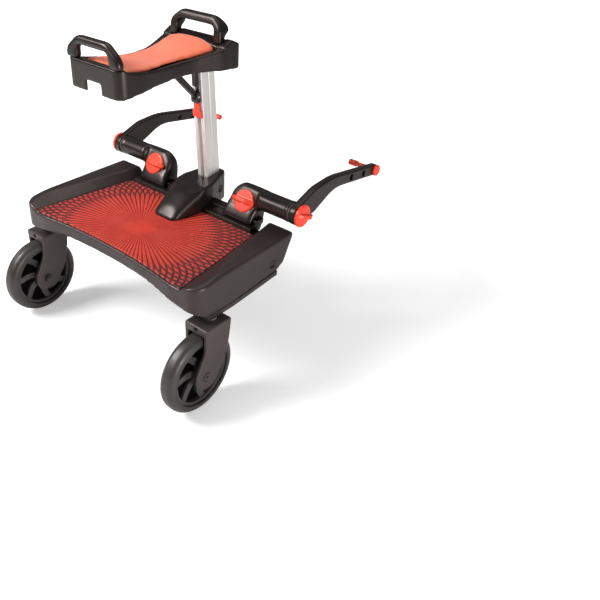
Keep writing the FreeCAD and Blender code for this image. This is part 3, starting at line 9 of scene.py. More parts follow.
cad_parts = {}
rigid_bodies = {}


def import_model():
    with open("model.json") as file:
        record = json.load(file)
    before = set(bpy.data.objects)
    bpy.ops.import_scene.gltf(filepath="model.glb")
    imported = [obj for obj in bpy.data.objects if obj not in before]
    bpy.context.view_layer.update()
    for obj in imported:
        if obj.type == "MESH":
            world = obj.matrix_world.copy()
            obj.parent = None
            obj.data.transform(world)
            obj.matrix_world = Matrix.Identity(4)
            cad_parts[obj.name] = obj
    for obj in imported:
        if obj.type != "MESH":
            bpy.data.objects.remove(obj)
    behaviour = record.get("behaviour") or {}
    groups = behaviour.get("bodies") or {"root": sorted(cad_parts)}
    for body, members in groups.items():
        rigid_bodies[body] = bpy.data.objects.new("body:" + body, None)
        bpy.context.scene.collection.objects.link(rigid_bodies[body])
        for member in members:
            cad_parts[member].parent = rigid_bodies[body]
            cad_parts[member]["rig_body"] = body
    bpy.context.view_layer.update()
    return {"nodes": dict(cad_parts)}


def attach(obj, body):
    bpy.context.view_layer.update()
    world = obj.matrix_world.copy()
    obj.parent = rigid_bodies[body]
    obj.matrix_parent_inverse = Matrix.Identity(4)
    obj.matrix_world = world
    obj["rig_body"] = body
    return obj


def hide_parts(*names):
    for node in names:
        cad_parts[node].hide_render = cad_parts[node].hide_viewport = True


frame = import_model()
nodes = frame["nodes"]

MM = 0.001
DECK_MIDDLE = 89.0
SIDES = ("right", "left")


def row_point(across, along, level):
    """A point given in millimetres on the deck's own lines, as metres in the row frame."""
    return np.stack(np.broadcast_arrays(across, along - DECK_MIDDLE, level), -1) * MM


# Meshes


def ring_faces(rows, ring):
    """Quads between rows of points, where each row is a closed ring."""
    row, place = np.meshgrid(np.arange(rows - 1), np.arange(ring), indexing="ij")
    beside = (place + 1) % ring
    near = row * ring
    far = near + ring
    return np.stack((near + place, near + beside, far + beside, far + place), -1).reshape(-1, 4)


def merge_points(mesh, apart, turn_out=False):
    """Joins points closer than a distance in metres, and turns the faces outwards where asked."""
    work = bmesh.new()
    work.from_mesh(mesh)
    bmesh.ops.remove_doubles(work, verts=work.verts, dist=apart)
    if turn_out:
        bmesh.ops.recalc_face_normals(work, faces=work.faces)
    work.to_mesh(mesh)
    work.free()


def dress(mesh, material):
    """Gives a whole mesh smooth shading and one finish."""
    mesh.polygons.foreach_set("use_smooth", np.ones(len(mesh.polygons), bool))
    mesh.materials.clear()
    mesh.materials.append(material)


def new_piece(name, points, faces, body, material):
    """A mesh object in the row frame, with its body and its finish."""
    mesh = bpy.data.meshes.new(name)
    mesh.from_pydata(np.asarray(points).reshape(-1, 3).tolist(), [], np.asarray(faces).tolist())
    mesh.validate()
    piece = bpy.data.objects.new(name, mesh)
    bpy.context.scene.collection.objects.link(piece)
    merge_points(mesh, apart=1e-6, turn_out=True)
    dress(mesh, material)
    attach(piece, body)
    return piece


# Finishes

FLAT_COSINE = 0.99
EDGE_COSINE = 0.8


class Finish:
    """A procedural finish: one surface shader and the nodes that feed it."""

    def __init__(self, name, colour, roughness):
        self.material = bpy.data.materials.new(name)
        self.material.use_nodes = True
        self.tree = self.material.node_tree
        self.shader = self.tree.nodes["Principled BSDF"]
        self.shader.inputs["Base Color"].default_value = (*colour, 1.0)
        self.shader.inputs["Roughness"].default_value = roughness
        self.place = self.add("ShaderNodeTexCoord").outputs["Object"]

    def add(self, kind, **settings):
        """A new node with its settings."""
        made = self.tree.nodes.new(kind)
        for key, value in settings.items():
            setattr(made, key, value)
        return made

    def feed(self, target, source):
        """Links a socket to the target, or sets the target to a plain value."""
        if isinstance(source, bpy.types.NodeSocket):
            self.tree.links.new(source, target)
        else:
            target.default_value = source

    def scaled(self, scale, move=(0, 0, 0)):
        """Object coordinates stretched by a scale, then moved."""
        mapping = self.add("ShaderNodeMapping")
        self.feed(mapping.inputs["Vector"], self.place)
        mapping.inputs["Scale"].default_value = scale
        mapping.inputs["Location"].default_value = move
        return mapping.outputs["Vector"]

    def axes(self, spot):
        """The three numbers of a place, by the names of their axes."""
        made = self.add("ShaderNodeSeparateXYZ")
        self.feed(made.inputs[0], spot)
        return made.outputs

    def noise(self, scale, detail, spot=None):
        """Cloudy noise on Object coordinates, or on a place that is given."""
        made = self.add("ShaderNodeTexNoise")
        self.feed(made.inputs["Vector"], spot or self.place)
        made.inputs["Scale"].default_value = scale
        made.inputs["Detail"].default_value = detail
        return made.outputs["Fac"]

    def span(self, source, low, high, to_low=0.0, to_high=1.0):
        """A number carried evenly from one range to another, and held at its ends."""
        made = self.add("ShaderNodeMapRange", clamp=True)
        self.feed(made.inputs["Value"], source)
        limits = {"From Min": low, "From Max": high, "To Min": to_low, "To Max": to_high}
        for key, value in limits.items():
            made.inputs[key].default_value = value
        return made.outputs["Result"]

    def reckon(self, kind, first, second=0.0):
        """A number worked out from one or two others."""
        made = self.add("ShaderNodeMath", operation=kind)
        self.feed(made.inputs[0], first)
        self.feed(made.inputs[1], second)
        return made.outputs["Value"]

    def mix(self, share, first, second):
        """A colour between two others: the first at a share of 0, the second at 1."""
        made = self.add("ShaderNodeMix", data_type="RGBA")
        self.feed(made.inputs["Factor"], share)
        for socket, colour in ((made.inputs[6], first), (made.inputs[7], second)):
            self.feed(socket, colour if isinstance(colour, bpy.types.NodeSocket) else (*colour, 1.0))
        return made.outputs[2]

    def rounded(self, radius):
        """Normal of the surface with its edges rounded to a radius in millimetres."""
        made = self.add("ShaderNodeBevel", samples=6)
        made.inputs["Radius"].default_value = radius * MM
        return made.outputs["Normal"]

    def edge_share(self, radius):
        """How strongly a spot lies on an edge, where the painted edge highlight goes: the cosine of the
        rounded and the true normal tells.
        """
        dot = self.add("ShaderNodeVectorMath", operation="DOT_PRODUCT")
        self.feed(dot.inputs[0], self.rounded(radius))
        self.feed(dot.inputs[1], self.add("ShaderNodeNewGeometry").outputs["Normal"])
        return self.span(dot.outputs["Value"], FLAT_COSINE, EDGE_COSINE)

    def bumped(self, height, depth, strength, normal=None):
        """Normal bent by a height, of which 1 stands for a depth in millimetres."""
        made = self.add("ShaderNodeBump")
        self.feed(made.inputs["Height"], height)
        made.inputs["Distance"].default_value = depth * MM
        made.inputs["Strength"].default_value = strength
        if normal is not None:
            self.feed(made.inputs["Normal"], normal)
        return made.outputs["Normal"]

    def set(self, field, source):
        """Feeds one field of the surface shader."""
        self.feed(self.shader.inputs[field], source)


PLASTIC_TINT = (1.0, 0.84, 0.79, 1.0)
PLASTIC_GRAIN = 900.0
PLASTIC_EDGE = 1.2
# Pale grey that the painted edge highlight draws the edge colour towards
EDGE_HIGHLIGHT_TONE = 0.35


def moulded_plastic(name, dark, light, rough_low, rough_high, edge=PLASTIC_EDGE, lift=0.25):
    """Moulded plastic: fine spark grain, slow tone drift and a painted highlight that makes the edges a
    little paler, stronger in some places than others by noise.
    """
    look = Finish(name, dark, rough_low)
    tone = look.mix(look.span(look.noise(9.0, 3.0), 0.3, 0.7), dark, light)
    # Painted highlight: the edges are drawn by the share lift towards a pale grey, as if light caught
    # them, more in some places than others by noise
    highlight_strength = look.span(look.noise(60.0, 4.0), 0.35, 0.7, 0.3, 1.0)
    painted_edge_highlight = look.reckon("MULTIPLY", look.edge_share(edge), highlight_strength)
    highlight_tone = tuple(part + lift * (EDGE_HIGHLIGHT_TONE - part) for part in light)
    look.set("Base Color", look.mix(painted_edge_highlight, tone, highlight_tone))
    look.set("Roughness", look.span(look.noise(35.0, 4.0), 0.3, 0.7, rough_low, rough_high))
    look.set("Normal", look.bumped(look.noise(PLASTIC_GRAIN, 2.0), 0.1, 0.18, look.rounded(edge)))
    look.shader.inputs["Specular Tint"].default_value = PLASTIC_TINT
    return look.material


# Painted shade on the wheel web: distances from the wheel's middle plane in millimetres, up to which the
# web is painted near black and from which the spokes keep their own tone
WEB_PAINTED_SHADE_TO = 1.7
SPOKE_FULL_FROM = 3.2


def wheel_plastic():
    """Wheel plastic with painted shade: the thin web between the spokes is painted near black with almost
    no reflection, standing in for the shade in the gaps between the spokes; a spot is told to be on the
    web by how far it lies from the wheel's middle plane."""
    look = Finish("wheel_plastic", (0.02, 0.018, 0.017), 0.3)
    reach = np.abs([corner[0] for corner in nodes["wheel_right"].bound_box])
    middle = float(reach.max() + reach.min()) / 2
    off = look.reckon("SUBTRACT", look.reckon("ABSOLUTE", look.axes(look.place)["X"]), middle)
    clear_of_painted_shade = look.span(look.reckon("ABSOLUTE", off), WEB_PAINTED_SHADE_TO * MM, SPOKE_FULL_FROM * MM)
    drift = look.span(look.noise(30.0, 3.0), 0.3, 0.7)
    tone = look.mix(drift, (0.038, 0.034, 0.034), (0.058, 0.052, 0.052))
    # Painted shade: the web is painted near black and its reflection turned down, as the gaps between the
    # spokes are dark
    look.set("Base Color", look.mix(clear_of_painted_shade, (0.0015, 0.0014, 0.0014), tone))
    look.set("Specular IOR Level", look.span(clear_of_painted_shade, 0.0, 1.0, 0.04, 0.5))
    look.set("Roughness", look.span(clear_of_painted_shade, 0.0, 1.0, 0.6, 0.36))
    look.set("Normal", look.bumped(look.noise(PLASTIC_GRAIN, 2.0), 0.1, 0.3, look.rounded(PLASTIC_EDGE)))
    return look.material


def brushed_aluminium():
    """Satin extrusion: fine lines drawn along the post."""
    look = Finish("satin_aluminium", (0.80, 0.765, 0.745), 0.36)
    look.shader.inputs["Metallic"].default_value = 0.55
    lines = look.noise(1.0, 3.0, look.scaled((900.0, 900.0, 14.0)))
    blotch = look.reckon("MULTIPLY", look.noise(14.0, 2.0), 0.4)
    tone = look.mix(look.span(lines, 0.35, 0.65), (0.74, 0.70, 0.68), (0.86, 0.825, 0.80))
    look.set("Base Color", tone)
    look.set("Roughness", look.span(look.reckon("ADD", lines, blotch), 0.4, 1.0, 0.30, 0.46))
    look.set("Normal", look.bumped(lines, 0.06, 0.4, look.rounded(1.2)))
    return look.material


def plated_steel():
    """Plated steel fasteners with faint turning marks."""
    look = Finish("plated_steel", (0.55, 0.54, 0.53), 0.32)
    look.shader.inputs["Metallic"].default_value = 1.0
    marks = look.noise(420.0, 3.0)
    look.set("Roughness", look.span(marks, 0.3, 0.7, 0.24, 0.44))
    look.set("Base Color", look.mix(marks, (0.46, 0.45, 0.44), (0.62, 0.61, 0.60)))
    look.set("Normal", look.bumped(marks, 0.04, 0.4, look.rounded(0.4)))
    return look.material


def tyre_rubber():
    """Tyre rubber with a dusty bloom."""
    look = Finish("tyre_rubber", (0.055, 0.048, 0.045), 0.62)
    bloom = look.span(look.noise(24.0, 5.0), 0.35, 0.7)
    look.set("Base Color", look.mix(bloom, (0.026, 0.022, 0.020), (0.050, 0.044, 0.040)))
    look.set("Roughness", look.span(look.noise(120.0, 3.0), 0.3, 0.7, 0.36, 0.48))
    look.set("Normal", look.bumped(look.noise(700.0, 2.0), 0.12, 0.4, look.rounded(1.0)))
    return look.material


def foam_pad():
    """Soft pad skin: orange with a close matt texture."""
    look = Finish("foam_pad", (0.86, 0.17, 0.075), 0.62)
    cells = look.noise(1500.0, 2.0)
    drift = look.span(look.noise(12.0, 3.0), 0.3, 0.7)
    look.set("Base Color", look.mix(drift, (0.82, 0.135, 0.055), (0.90, 0.20, 0.095)))
    look.shader.inputs["Sheen Weight"].default_value = 0.25
    look.shader.inputs["Sheen Roughness"].default_value = 0.5
    look.set("Roughness", look.span(cells, 0.3, 0.7, 0.55, 0.70))
    look.set("Normal", look.bumped(cells, 0.12, 0.45))
    return look.material


# Grip mat: the rays' middle along the deck, then distances from it and shares of the step between rays
MAT_MIDDLE = -17.0
MAT_RAYS = 84
RAY_SQUASH = 0.86
RAY_FADE_IN = (10.0 * MM, 26.0 * MM)
RAY_DARKENS = (30.0 * MM, 150.0 * MM)
RAY_HALF = (0.14, 0.18)
RAY_SOFT = 0.06
NET_START = 92.0 * MM
NET_TWIST = 800.0
NET_WIDENS = (105.0 * MM, 185.0 * MM)
NET_WIDER = 0.09
SMOKE_DARKENS = (85.0 * MM, 165.0 * MM)
SMOKE_SPREAD = 30.0 * MM


def grip_rubber():
    """Grip mat: red rubber with raised dark rays about the middle that part into a net at the corners.

    Two sets of rays share one angle about the middle; past a radius each set is turned the other way by
    the square of the distance, so that single rays become a lattice."""
    look = Finish("grip_mat", (0.66, 0.05, 0.03), 0.5)
    spot = look.axes(look.scaled((1, 1, 1), move=(0, (DECK_MIDDLE - MAT_MIDDLE) * MM, 0)))
    along = spot["Y"]
    wide = look.reckon("MULTIPLY", spot["X"], RAY_SQUASH)
    angle = look.reckon("ARCTAN2", along, wide)
    wide_square = look.reckon("MULTIPLY", wide, wide)
    along_square = look.reckon("MULTIPLY", along, along)
    reach = look.reckon("SQRT", look.reckon("ADD", wide_square, along_square))
    far = look.span(reach, *RAY_DARKENS)
    past = look.reckon("MAXIMUM", look.reckon("SUBTRACT", reach, NET_START), 0.0)
    twist = look.reckon("MULTIPLY", look.reckon("MULTIPLY", past, past), NET_TWIST)
    turns = look.reckon("MULTIPLY", angle, MAT_RAYS / (2 * math.pi))
    wider = look.span(reach, *NET_WIDENS, 0.0, NET_WIDER)
    half_ray = look.reckon("ADD", look.span(far, 0.0, 1.0, *RAY_HALF), wider)

    def ray_set(way):
        """One set of rays, twisted one way: 1 on a ray, 0 between two."""
        share = look.reckon("FRACT", look.reckon("ADD", turns, look.reckon("MULTIPLY", twist, way)))
        off = look.reckon("ABSOLUTE", look.reckon("SUBTRACT", share, 0.5))
        return look.span(look.reckon("SUBTRACT", half_ray, off), -RAY_SOFT, RAY_SOFT)

    rays = look.reckon("MAXIMUM", ray_set(1.0), ray_set(-1.0))
    rays = look.reckon("MULTIPLY", rays, look.span(reach, *RAY_FADE_IN))
    smoke = look.noise(30.0, 4.0)
    smoky = look.reckon("ADD", reach, look.reckon("MULTIPLY", smoke, SMOKE_SPREAD))
    corner = look.span(smoky, *SMOKE_DARKENS, 0.0, 0.5)
    red = look.mix(look.span(smoke, 0.35, 0.65), (0.62, 0.042, 0.023), (0.71, 0.058, 0.032))
    base = look.mix(corner, red, (0.30, 0.040, 0.036))
    dark = look.mix(far, (0.20, 0.016, 0.012), (0.050, 0.018, 0.020))
    look.set("Base Color", look.mix(rays, base, dark))
    look.set("Roughness", look.span(look.noise(90.0, 3.0), 0.3, 0.7, 0.40, 0.56))
    grain = look.reckon("ADD", look.reckon("MULTIPLY", look.noise(1100.0, 2.0), 0.12), rays)
    look.set("Normal", look.bumped(grain, 0.6, 0.5, look.rounded(0.5)))
    return look.material


black_plastic = moulded_plastic(
    "black_plastic", (0.0075, 0.0058, 0.0052), (0.013, 0.0102, 0.0096), 0.28, 0.38)
deck_plastic = moulded_plastic(
    "deck_plastic", (0.017, 0.0125, 0.0125), (0.028, 0.0215, 0.0215), 0.32, 0.44)
fork_plastic = moulded_plastic(
    "fork_plastic", (0.036, 0.028, 0.028), (0.050, 0.041, 0.041), 0.34, 0.46)
plug_plastic = moulded_plastic(
    "plug_plastic", (0.004, 0.004, 0.0036), (0.008, 0.0075, 0.007), 0.26, 0.38)
orange_plastic = moulded_plastic(
    "orange_plastic", (0.82, 0.048, 0.020), (0.90, 0.066, 0.028), 0.28, 0.38, lift=0.10)
# Near-black steel: on the axle nuts this darkness is painted shade of the recess in the fork that they sit
# in
dark_steel_and_painted_shade = moulded_plastic(
    "dark_steel_and_painted_shade", (0.020, 0.018, 0.018), (0.036, 0.033, 0.033), 0.26, 0.38, edge=0.4)
bush_plastic = moulded_plastic(
    "bush_plastic", (0.10, 0.095, 0.09), (0.15, 0.14, 0.135), 0.35, 0.5)
wheel_black = wheel_plastic()
aluminium = brushed_aluminium()
steel = plated_steel()
rubber = tyre_rubber()
pad_skin = foam_pad()
mat_rubber = grip_rubber()


# Finishes of the CAD nodes


def pairs(*names):
    """The node names of pieces that come once on each side."""
    return [name + "_" + side for name in names for side in SIDES]


def paint(material, *names):
    """Gives CAD nodes a finish."""
    for name in names:
        finishes = nodes[name].data.materials
        finishes.clear()
        finishes.append(material)


paint(deck_plastic, "deck_tray", *pairs("side_runner"))
paint(black_plastic, "front_rail", "post_socket", "post_head", "prop_slider", "prop",
      "seat_shell", "seat_frame", "rear_handle", "front_handle", *pairs("elbow", "arm"))
paint(wheel_black, *pairs("wheel"))
paint(plug_plastic, *pairs("side_plug"))
paint(fork_plastic, *pairs("castor_fork"))
paint(orange_plastic, "latch", *pairs("clamp_knob", "end_knob", "hitch_pin"))
paint(pad_skin, "seat_pad")
paint(mat_rubber, "grip_mat")
paint(rubber, *pairs("tyre"))
paint(aluminium, "post")
paint(steel, "runner_screws", "seat_screws", "hinge_pin", "prop_foot_pin", "prop_top_pin",
      *pairs("wheel_bearings", "castor_stem", "clamp_stud", "arm_stud"))
# The axle nuts are painted near black as painted shade of their recess in the fork
paint(dark_steel_and_painted_shade, "post_bolt", *pairs("axle_bolt", "axle_nut"))
paint(bush_plastic, *pairs("swivel_bush", "friction_disc"))


# Rounded mouldings


def finished_mesh(piece):
    """The piece's mesh with its modifiers worked in."""
    made = piece.evaluated_get(bpy.context.evaluated_depsgraph_get())
    mesh = bpy.data.meshes.new_from_object(made)
    piece.modifiers.clear()
    old = piece.data
    piece.data = mesh
    bpy.data.meshes.remove(old)
    return mesh


def in_even_cells(piece, cell):
    """Remeshes a closed piece in even cells of a size in millimetres."""
    cells = piece.modifiers.new("cells", "REMESH")
    cells.mode = "VOXEL"
    cells.voxel_size = cell * MM
    return finished_mesh(piece)


def corners(mesh):
    """The mesh's points as an array."""
    flat = np.empty(len(mesh.vertices) * 3, np.float32)
    mesh.vertices.foreach_get("co", flat)
    return flat.reshape(-1, 3)


def step(values, limits):
    """Smooth rise from 0 to 1 between two limits in millimetres, for values in metres: three squares of
    the way less two cubes."""
    low, high = limits[0] * MM, limits[1] * MM
    way = np.clip((values - low) / (high - low), 0, 1)
    return way * way * (3 - 2 * way)


def soften(piece, rounds, share=None):
    """Draws each point to the mean of its neighbours for a number of rounds, wholly or by a share."""
    soft = piece.modifiers.new("soft", "SMOOTH")
    soft.factor = 0.5
    soft.iterations = rounds
    if share is not None:
        group = piece.vertex_groups.new(name="share")
        level = np.rint(share * 10).astype(int)
        for tenth in range(1, 11):
            group.add(np.nonzero(level == tenth)[0].tolist(), tenth / 10, "REPLACE")
        soft.vertex_group = "share"
    finished_mesh(piece)
    piece.vertex_groups.clear()


def fatten(piece, full, depth):
    """Pushes each point out along its normal by a depth, as far as a share of place and normal asks."""
    mesh = piece.data
    spots = corners(mesh)
    normals = np.empty(spots.size, np.float32)
    mesh.vertices.foreach_get("normal", normals)
    normals = normals.reshape(-1, 3)
    pushed = spots + normals * full(spots, normals)[:, None] * depth * MM
    mesh.vertices.foreach_set("co", pushed.ravel())
    mesh.update()


def moulding(name, material, cell, rounds, more=0, where=None, keep=1.0, full=None, depth=0.0):
    """A copy of a CAD node with its edges rounded as a mould leaves them: remeshed in even cells, made
    fuller by a depth where asked, then softened, with more rounds where a share of the place asks for a
    larger radius, and thinned to the share of faces to keep."""
    mesh = nodes[name].data.copy()
    mesh.name = name + "_moulding"
    merge_points(mesh, apart=2e-6)
    piece = bpy.data.objects.new(name + "_moulding", mesh)
    bpy.context.scene.collection.objects.link(piece)
    in_even_cells(piece, cell)
    if full is not None:
        fatten(piece, full, depth)
    if more:
        soften(piece, more, where(corners(piece.data)))
    soften(piece, rounds)
    if keep < 1:
        thin = piece.modifiers.new("thin", "DECIMATE")
        thin.ratio = keep
        finished_mesh(piece)
    dress(piece.data, material)
    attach(piece, nodes[name]["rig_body"])
    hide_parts(name)


# Zones that are made rounder or fuller, from and to in millimetres; the slope is a share of a normal
ELBOW_BLOCK_END = (122.0, 140.0)
ELBOW_FOOT = (194.0, 203.0)
ELBOW_NEAR_FACE = (11.0, 16.0)
ELBOW_TOP = (222.0, 232.0)
ELBOW_FULL_END = (118.0, 134.0)
NOSE_ROOT = (-14.0, 6.0)
NOSE_FOOT = (195.0, 203.0)
CROWN_ROOT = (-20.0, -2.0)
CROWN_FOOT = (192.0, 205.0)
NOSE_HALF_WIDTH = 31.0
NOSE_SLOPE = 0.7


def elbow_bend(points):
    """Share of the elbow's bend: whole in its block, none on the tube and at the foot on the rail."""
    across, level = np.abs(points[:, 0]), points[:, 2]
    return (1 - step(across, ELBOW_BLOCK_END)) * step(level, ELBOW_FOOT)


def elbow_full(points, normals):
    """Share of the elbow's fuller faces: towards the standing deck and on top, not the channel below."""
    across, along, level = np.abs(points[:, 0]), points[:, 1], points[:, 2]
    near = np.clip(-normals[:, 1], 0, 1) * (1 - step(along, ELBOW_NEAR_FACE))
    crown = np.clip(normals[:, 2], 0, 1) * step(level, ELBOW_TOP)
    return np.maximum(near, crown) * (1 - step(across, ELBOW_FULL_END))


def socket_nose(points):
    """Share of the socket's nose: whole on the standing deck's side of the post, above the deck."""
    along, level = points[:, 1], points[:, 2]
    return (1 - step(along, NOSE_ROOT)) * step(level, NOSE_FOOT)


def socket_crown(points, normals):
    """Share of the nose's crown: its sloping face, fullest on the middle line and less by the square of
    the distance from it."""
    across, along, level = points[:, 0], points[:, 1], points[:, 2]
    slope = np.clip(NOSE_SLOPE * normals[:, 2] - NOSE_SLOPE * normals[:, 1], 0, 1)
    middle = np.clip(1 - (across / (NOSE_HALF_WIDTH * MM)) ** 2, 0, 1)
    return slope * middle * (1 - step(along, CROWN_ROOT)) * step(level, CROWN_FOOT)


moulding("deck_tray", deck_plastic, cell=1.6, rounds=16, keep=0.5)
moulding("seat_shell", black_plastic, cell=1.5, rounds=7)
moulding("rear_handle", black_plastic, cell=1.0, rounds=60)
moulding("front_handle", black_plastic, cell=1.0, rounds=60)
moulding("post_socket", black_plastic, cell=1.2, rounds=18, more=130, where=socket_nose,
         full=socket_crown, depth=7.0)
for side in SIDES:
    moulding("elbow_" + side, black_plastic, cell=1.1, rounds=10, more=170, where=elbow_bend,
             full=elbow_full, depth=4.0)
    moulding("arm_" + side, black_plastic, cell=1.0, rounds=10)
    moulding("castor_fork_" + side, fork_plastic, cell=1.2, rounds=7)
    moulding("clamp_knob_" + side, orange_plastic, cell=0.7, rounds=5)
    moulding("end_knob_" + side, orange_plastic, cell=0.7, rounds=5)

# Saddle pad: each station is a place along the deck, a half-width and a height, in millimetres

PAD_STATIONS = ((-66.0, 44.0, 13.4), (-60.0, 44.6, 14.0), (-34.0, 43.6, 10.4), (6.0, 35.6, 7.4),
                (38.0, 33.6, 8.8), (66.0, 39.4, 14.6), (90.0, 46.0, 20.8), (101.0, 45.8, 22.6))
PAD_SAMPLES = 400
PAD_BLUR = 14.0
PAD_BLUR_REACH = 40
PAD_SIDES_SHARE = 0.72
PAD_CROWN_SHARE = 0.28
PAD_BASE = 437.6
PAD_CELL = 4.0
PAD_HELD = 2.2
PAD_PRESSURE = 4.0
PAD_MOMENTS = 20
PAD_SWELL = 2.0


def superellipse(run, square, root):
    """Height of a superellipse over a run from -1 to 1: the root of one less a power of the run."""
    return (1 - np.abs(run) ** square) ** (1 / root)


def signed_power(values, power):
    """A power of each value's size, with the value's sign."""
    return np.sign(values) * np.abs(values) ** power


def pad_surface(rows=97, ring=72):
    """Closed crowned pad. Along its run the half-width and height follow smoothed stations, and
    superellipses of the run draw the two ends in; round each section a superellipse gives flat base,
    drawn-in sides and a top that is lifted by a parabola across the pad."""
    place, half, tall = np.array(PAD_STATIONS).T
    run = np.sin(np.linspace(-math.pi / 2, math.pi / 2, rows))
    along = (place[0] + place[-1]) / 2 + run * (place[-1] - place[0]) / 2
    fine = np.linspace(place[0], place[-1], PAD_SAMPLES)
    spread = np.exp(-0.5 * (np.arange(-PAD_BLUR_REACH, PAD_BLUR_REACH + 1) / PAD_BLUR) ** 2)
    spread /= spread.sum()

    def smooth(values):
        """A line through the stations' values, blurred by a bell curve."""
        line = np.pad(np.interp(fine, place, values), PAD_BLUR_REACH, mode="edge")
        return np.interp(along, fine, np.convolve(line, spread, mode="valid"))

    width = smooth(half) * superellipse(run, square=26, root=5)
    height = (smooth(tall) * superellipse(run, square=40, root=3))[:, None]
    turn = np.linspace(0, 2 * math.pi, ring, endpoint=False)
    across = signed_power(np.cos(turn), power=0.42)
    lift = signed_power(np.sin(turn), power=0.55)
    level = PAD_SIDES_SHARE / 2 * height * (1 + lift)
    level = level + PAD_CROWN_SHARE * height * np.clip(lift, 0, 1) * (1 - across ** 2)
    return row_point(width[:, None] * across, along[:, None], PAD_BASE + level), ring_faces(rows, ring)


def swollen(piece):
    """Foam under its skin: the form is remeshed in even cells, blown up by cloth pressure with its base
    held, the swelling is capped, and one subdivision smooths it."""
    start = corners(in_even_cells(piece, PAD_CELL)).copy()
    base = piece.vertex_groups.new(name="base")
    held = np.nonzero(start[:, 2] < (PAD_BASE + PAD_HELD) * MM)[0]
    base.add(held.tolist(), 1.0, "REPLACE")
    cloth = piece.modifiers.new("cloth", "CLOTH")
    cloth.settings.use_pressure = True
    cloth.settings.uniform_pressure_force = PAD_PRESSURE
    cloth.settings.effector_weights.gravity = 0.0
    cloth.settings.vertex_group_mass = "base"
    cloth.point_cache.frame_start = 1
    cloth.point_cache.frame_end = PAD_MOMENTS
    scene = bpy.context.scene
    for moment in range(1, PAD_MOMENTS + 1):
        scene.frame_set(moment)
    mesh = finished_mesh(piece)
    scene.frame_set(1)
    move = corners(mesh) - start
    size = np.linalg.norm(move, axis=1, keepdims=True)
    move *= np.minimum(1.0, PAD_SWELL * MM / np.maximum(size, 1e-9))
    mesh.vertices.foreach_set("co", (start + move).ravel())
    mesh.update()
    piece.vertex_groups.clear()
    even = piece.modifiers.new("even", "SMOOTH")
    even.iterations = 3
    finer = piece.modifiers.new("finer", "SUBSURF")
    finer.levels = 1
    finer.render_levels = 1
    dress(finished_mesh(piece), pad_skin)


points, faces = pad_surface()
pad = new_piece("saddle_pad", points, faces, "seat", pad_skin)
swollen(pad)
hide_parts("seat_pad")

# Studio: places and sizes in metres, lamps by name, place, size and power in watts

FLOOR_HALF = 6.0
FLOOR_FADE = (0.55, 1.1)
FLOOR_GLOW = (0.36, 1.0)
WORLD_LIGHT = 0.28
WORLD_SHINE = 0.16
WORLD_SEEN = 1.0
LAMP_AIM = (0.0, 0.0, 0.2)
LAMPS = (
    ("key", (-0.95, -1.25, 1.55), (0.8, 0.8), 47.0),
    ("top", (-0.2, 0.4, 2.2), (1.2, 1.2), 8.0),
    ("fill", (1.8, -0.45, 0.40), (0.5, 0.6), 19.0),
)


def pale_floor():
    """Pale grey square floor that glows for the camera alone, more with the distance from its middle."""
    outline = [(-FLOOR_HALF, -FLOOR_HALF, 0), (FLOOR_HALF, -FLOOR_HALF, 0),
               (FLOOR_HALF, FLOOR_HALF, 0), (-FLOOR_HALF, FLOOR_HALF, 0)]
    mesh = bpy.data.meshes.new("floor")
    mesh.from_pydata(outline, [], [(0, 1, 2, 3)])
    floor = bpy.data.objects.new("floor", mesh)
    bpy.context.scene.collection.objects.link(floor)
    look = Finish("pale_floor", (0.86, 0.86, 0.86), 0.8)
    drift = look.span(look.noise(3.0, 2.0), 0.3, 0.7)
    look.set("Base Color", look.mix(drift, (0.855, 0.855, 0.855), (0.865, 0.865, 0.865)))
    look.shader.inputs["Specular IOR Level"].default_value = 0.0
    path = look.add("ShaderNodeLightPath")
    away = look.add("ShaderNodeVectorMath", operation="LENGTH")
    look.feed(away.inputs[0], look.place)
    glow = look.span(away.outputs["Value"], *FLOOR_FADE, *FLOOR_GLOW)
    look.shader.inputs["Emission Color"].default_value = (1, 1, 1, 1)
    look.set("Emission Strength", look.reckon("MULTIPLY", glow, path.outputs["Is Camera Ray"]))
    mesh.materials.append(look.material)


def pale_world():
    """White world of three strengths: as light, in reflections and as the camera sees it."""
    world = bpy.data.worlds.new("pale_world")
    bpy.context.scene.world = world
    world.use_nodes = True
    tree = world.node_tree
    path = tree.nodes.new("ShaderNodeLightPath")

    def white(sky, strength):
        """The output of a background that is white at a strength."""
        sky.inputs["Color"].default_value = (1, 1, 1, 1)
        sky.inputs["Strength"].default_value = strength
        return sky.outputs[0]

    chosen = white(tree.nodes["Background"], WORLD_LIGHT)
    for ray, strength in (("Is Glossy Ray", WORLD_SHINE), ("Is Camera Ray", WORLD_SEEN)):
        choice = tree.nodes.new("ShaderNodeMixShader")
        tree.links.new(path.outputs[ray], choice.inputs[0])
        tree.links.new(chosen, choice.inputs[1])
        tree.links.new(white(tree.nodes.new("ShaderNodeBackground"), strength), choice.inputs[2])
        chosen = choice.outputs[0]
    tree.links.new(chosen, tree.nodes["World Output"].inputs["Surface"])


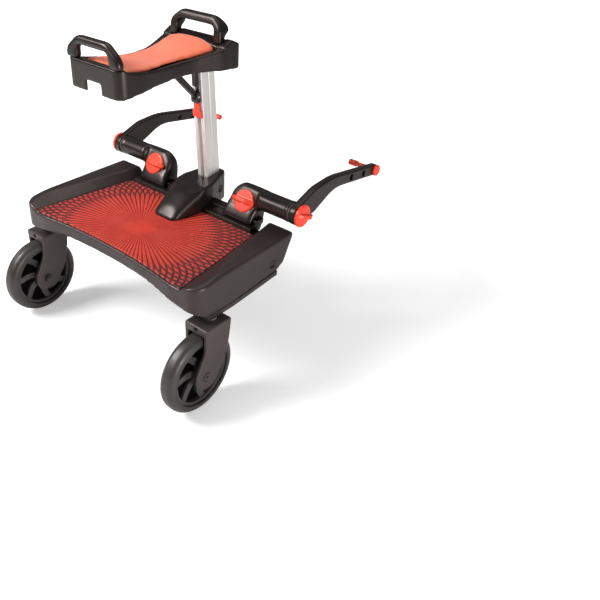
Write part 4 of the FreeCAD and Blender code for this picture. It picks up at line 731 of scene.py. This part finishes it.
def area_lamp(name, spot, size, power):
    """Rectangular lamp that is turned from its spot to the lamps' aim."""
    lamp = bpy.data.lights.new(name, "AREA")
    lamp.shape = "RECTANGLE"
    lamp.size, lamp.size_y = size
    lamp.energy = power
    holder = bpy.data.objects.new(name, lamp)
    bpy.context.scene.collection.objects.link(holder)
    toward = np.array(LAMP_AIM) - np.array(spot)
    toward /= np.linalg.norm(toward)
    sideways = np.cross(toward, (0, 0, 1))
    sideways /= np.linalg.norm(sideways)
    turn = np.column_stack((sideways, np.cross(sideways, toward), -toward))
    holder.matrix_world = Matrix.Translation(spot) @ Matrix(turn.tolist()).to_4x4()


# Camera: angles in degrees, target on the deck's lines and distance in millimetres, picture in pixels

CAMERA_TURN = 39.2991
CAMERA_LIFT = 31.7257
CAMERA_ROLL = -2.209
CAMERA_TARGET = (-105.504, 383.706, -93.423)
CAMERA_DISTANCE = 1506.66
PICTURE_SIZE = 600
PICTURE_AHEAD = (254, 262)
FOCAL_PIXELS = 687.139
SENSOR_WIDTH = 36.0


def photograph_camera():
    """Camera at the photograph's angle: turned about its target, looking down, with a touch of roll. The
    point straight ahead of it lies off the picture's middle, which the lens shift makes up for."""
    turn, lift, roll = np.radians((CAMERA_TURN, CAMERA_LIFT, CAMERA_ROLL))
    back = np.array([math.sin(turn) * math.cos(lift), -math.cos(turn) * math.cos(lift), math.sin(lift)])
    right = np.array([math.cos(turn), math.sin(turn), 0.0])
    down = np.cross(-back, right)
    across = math.cos(roll) * right + math.sin(roll) * down
    up = math.sin(roll) * right - math.cos(roll) * down
    camera = bpy.data.cameras.new("camera")
    camera.sensor_width = SENSOR_WIDTH
    camera.lens = SENSOR_WIDTH * FOCAL_PIXELS / PICTURE_SIZE
    camera.shift_x = (PICTURE_SIZE / 2 - PICTURE_AHEAD[0]) / PICTURE_SIZE
    camera.shift_y = (PICTURE_AHEAD[1] - PICTURE_SIZE / 2) / PICTURE_SIZE
    camera.clip_start = 0.05
    holder = bpy.data.objects.new("camera", camera)
    bpy.context.scene.collection.objects.link(holder)
    place = row_point(*CAMERA_TARGET) + back * CAMERA_DISTANCE * MM
    rows = np.column_stack((across, up, back))
    holder.matrix_world = Matrix.Translation(place.tolist()) @ Matrix(rows.tolist()).to_4x4()
    bpy.context.scene.camera = holder


pale_floor()
pale_world()
for lamp in LAMPS:
    area_lamp(*lamp)
photograph_camera()
bpy.context.scene.view_settings.view_transform = "Standard"

bpy.context.view_layer.update()
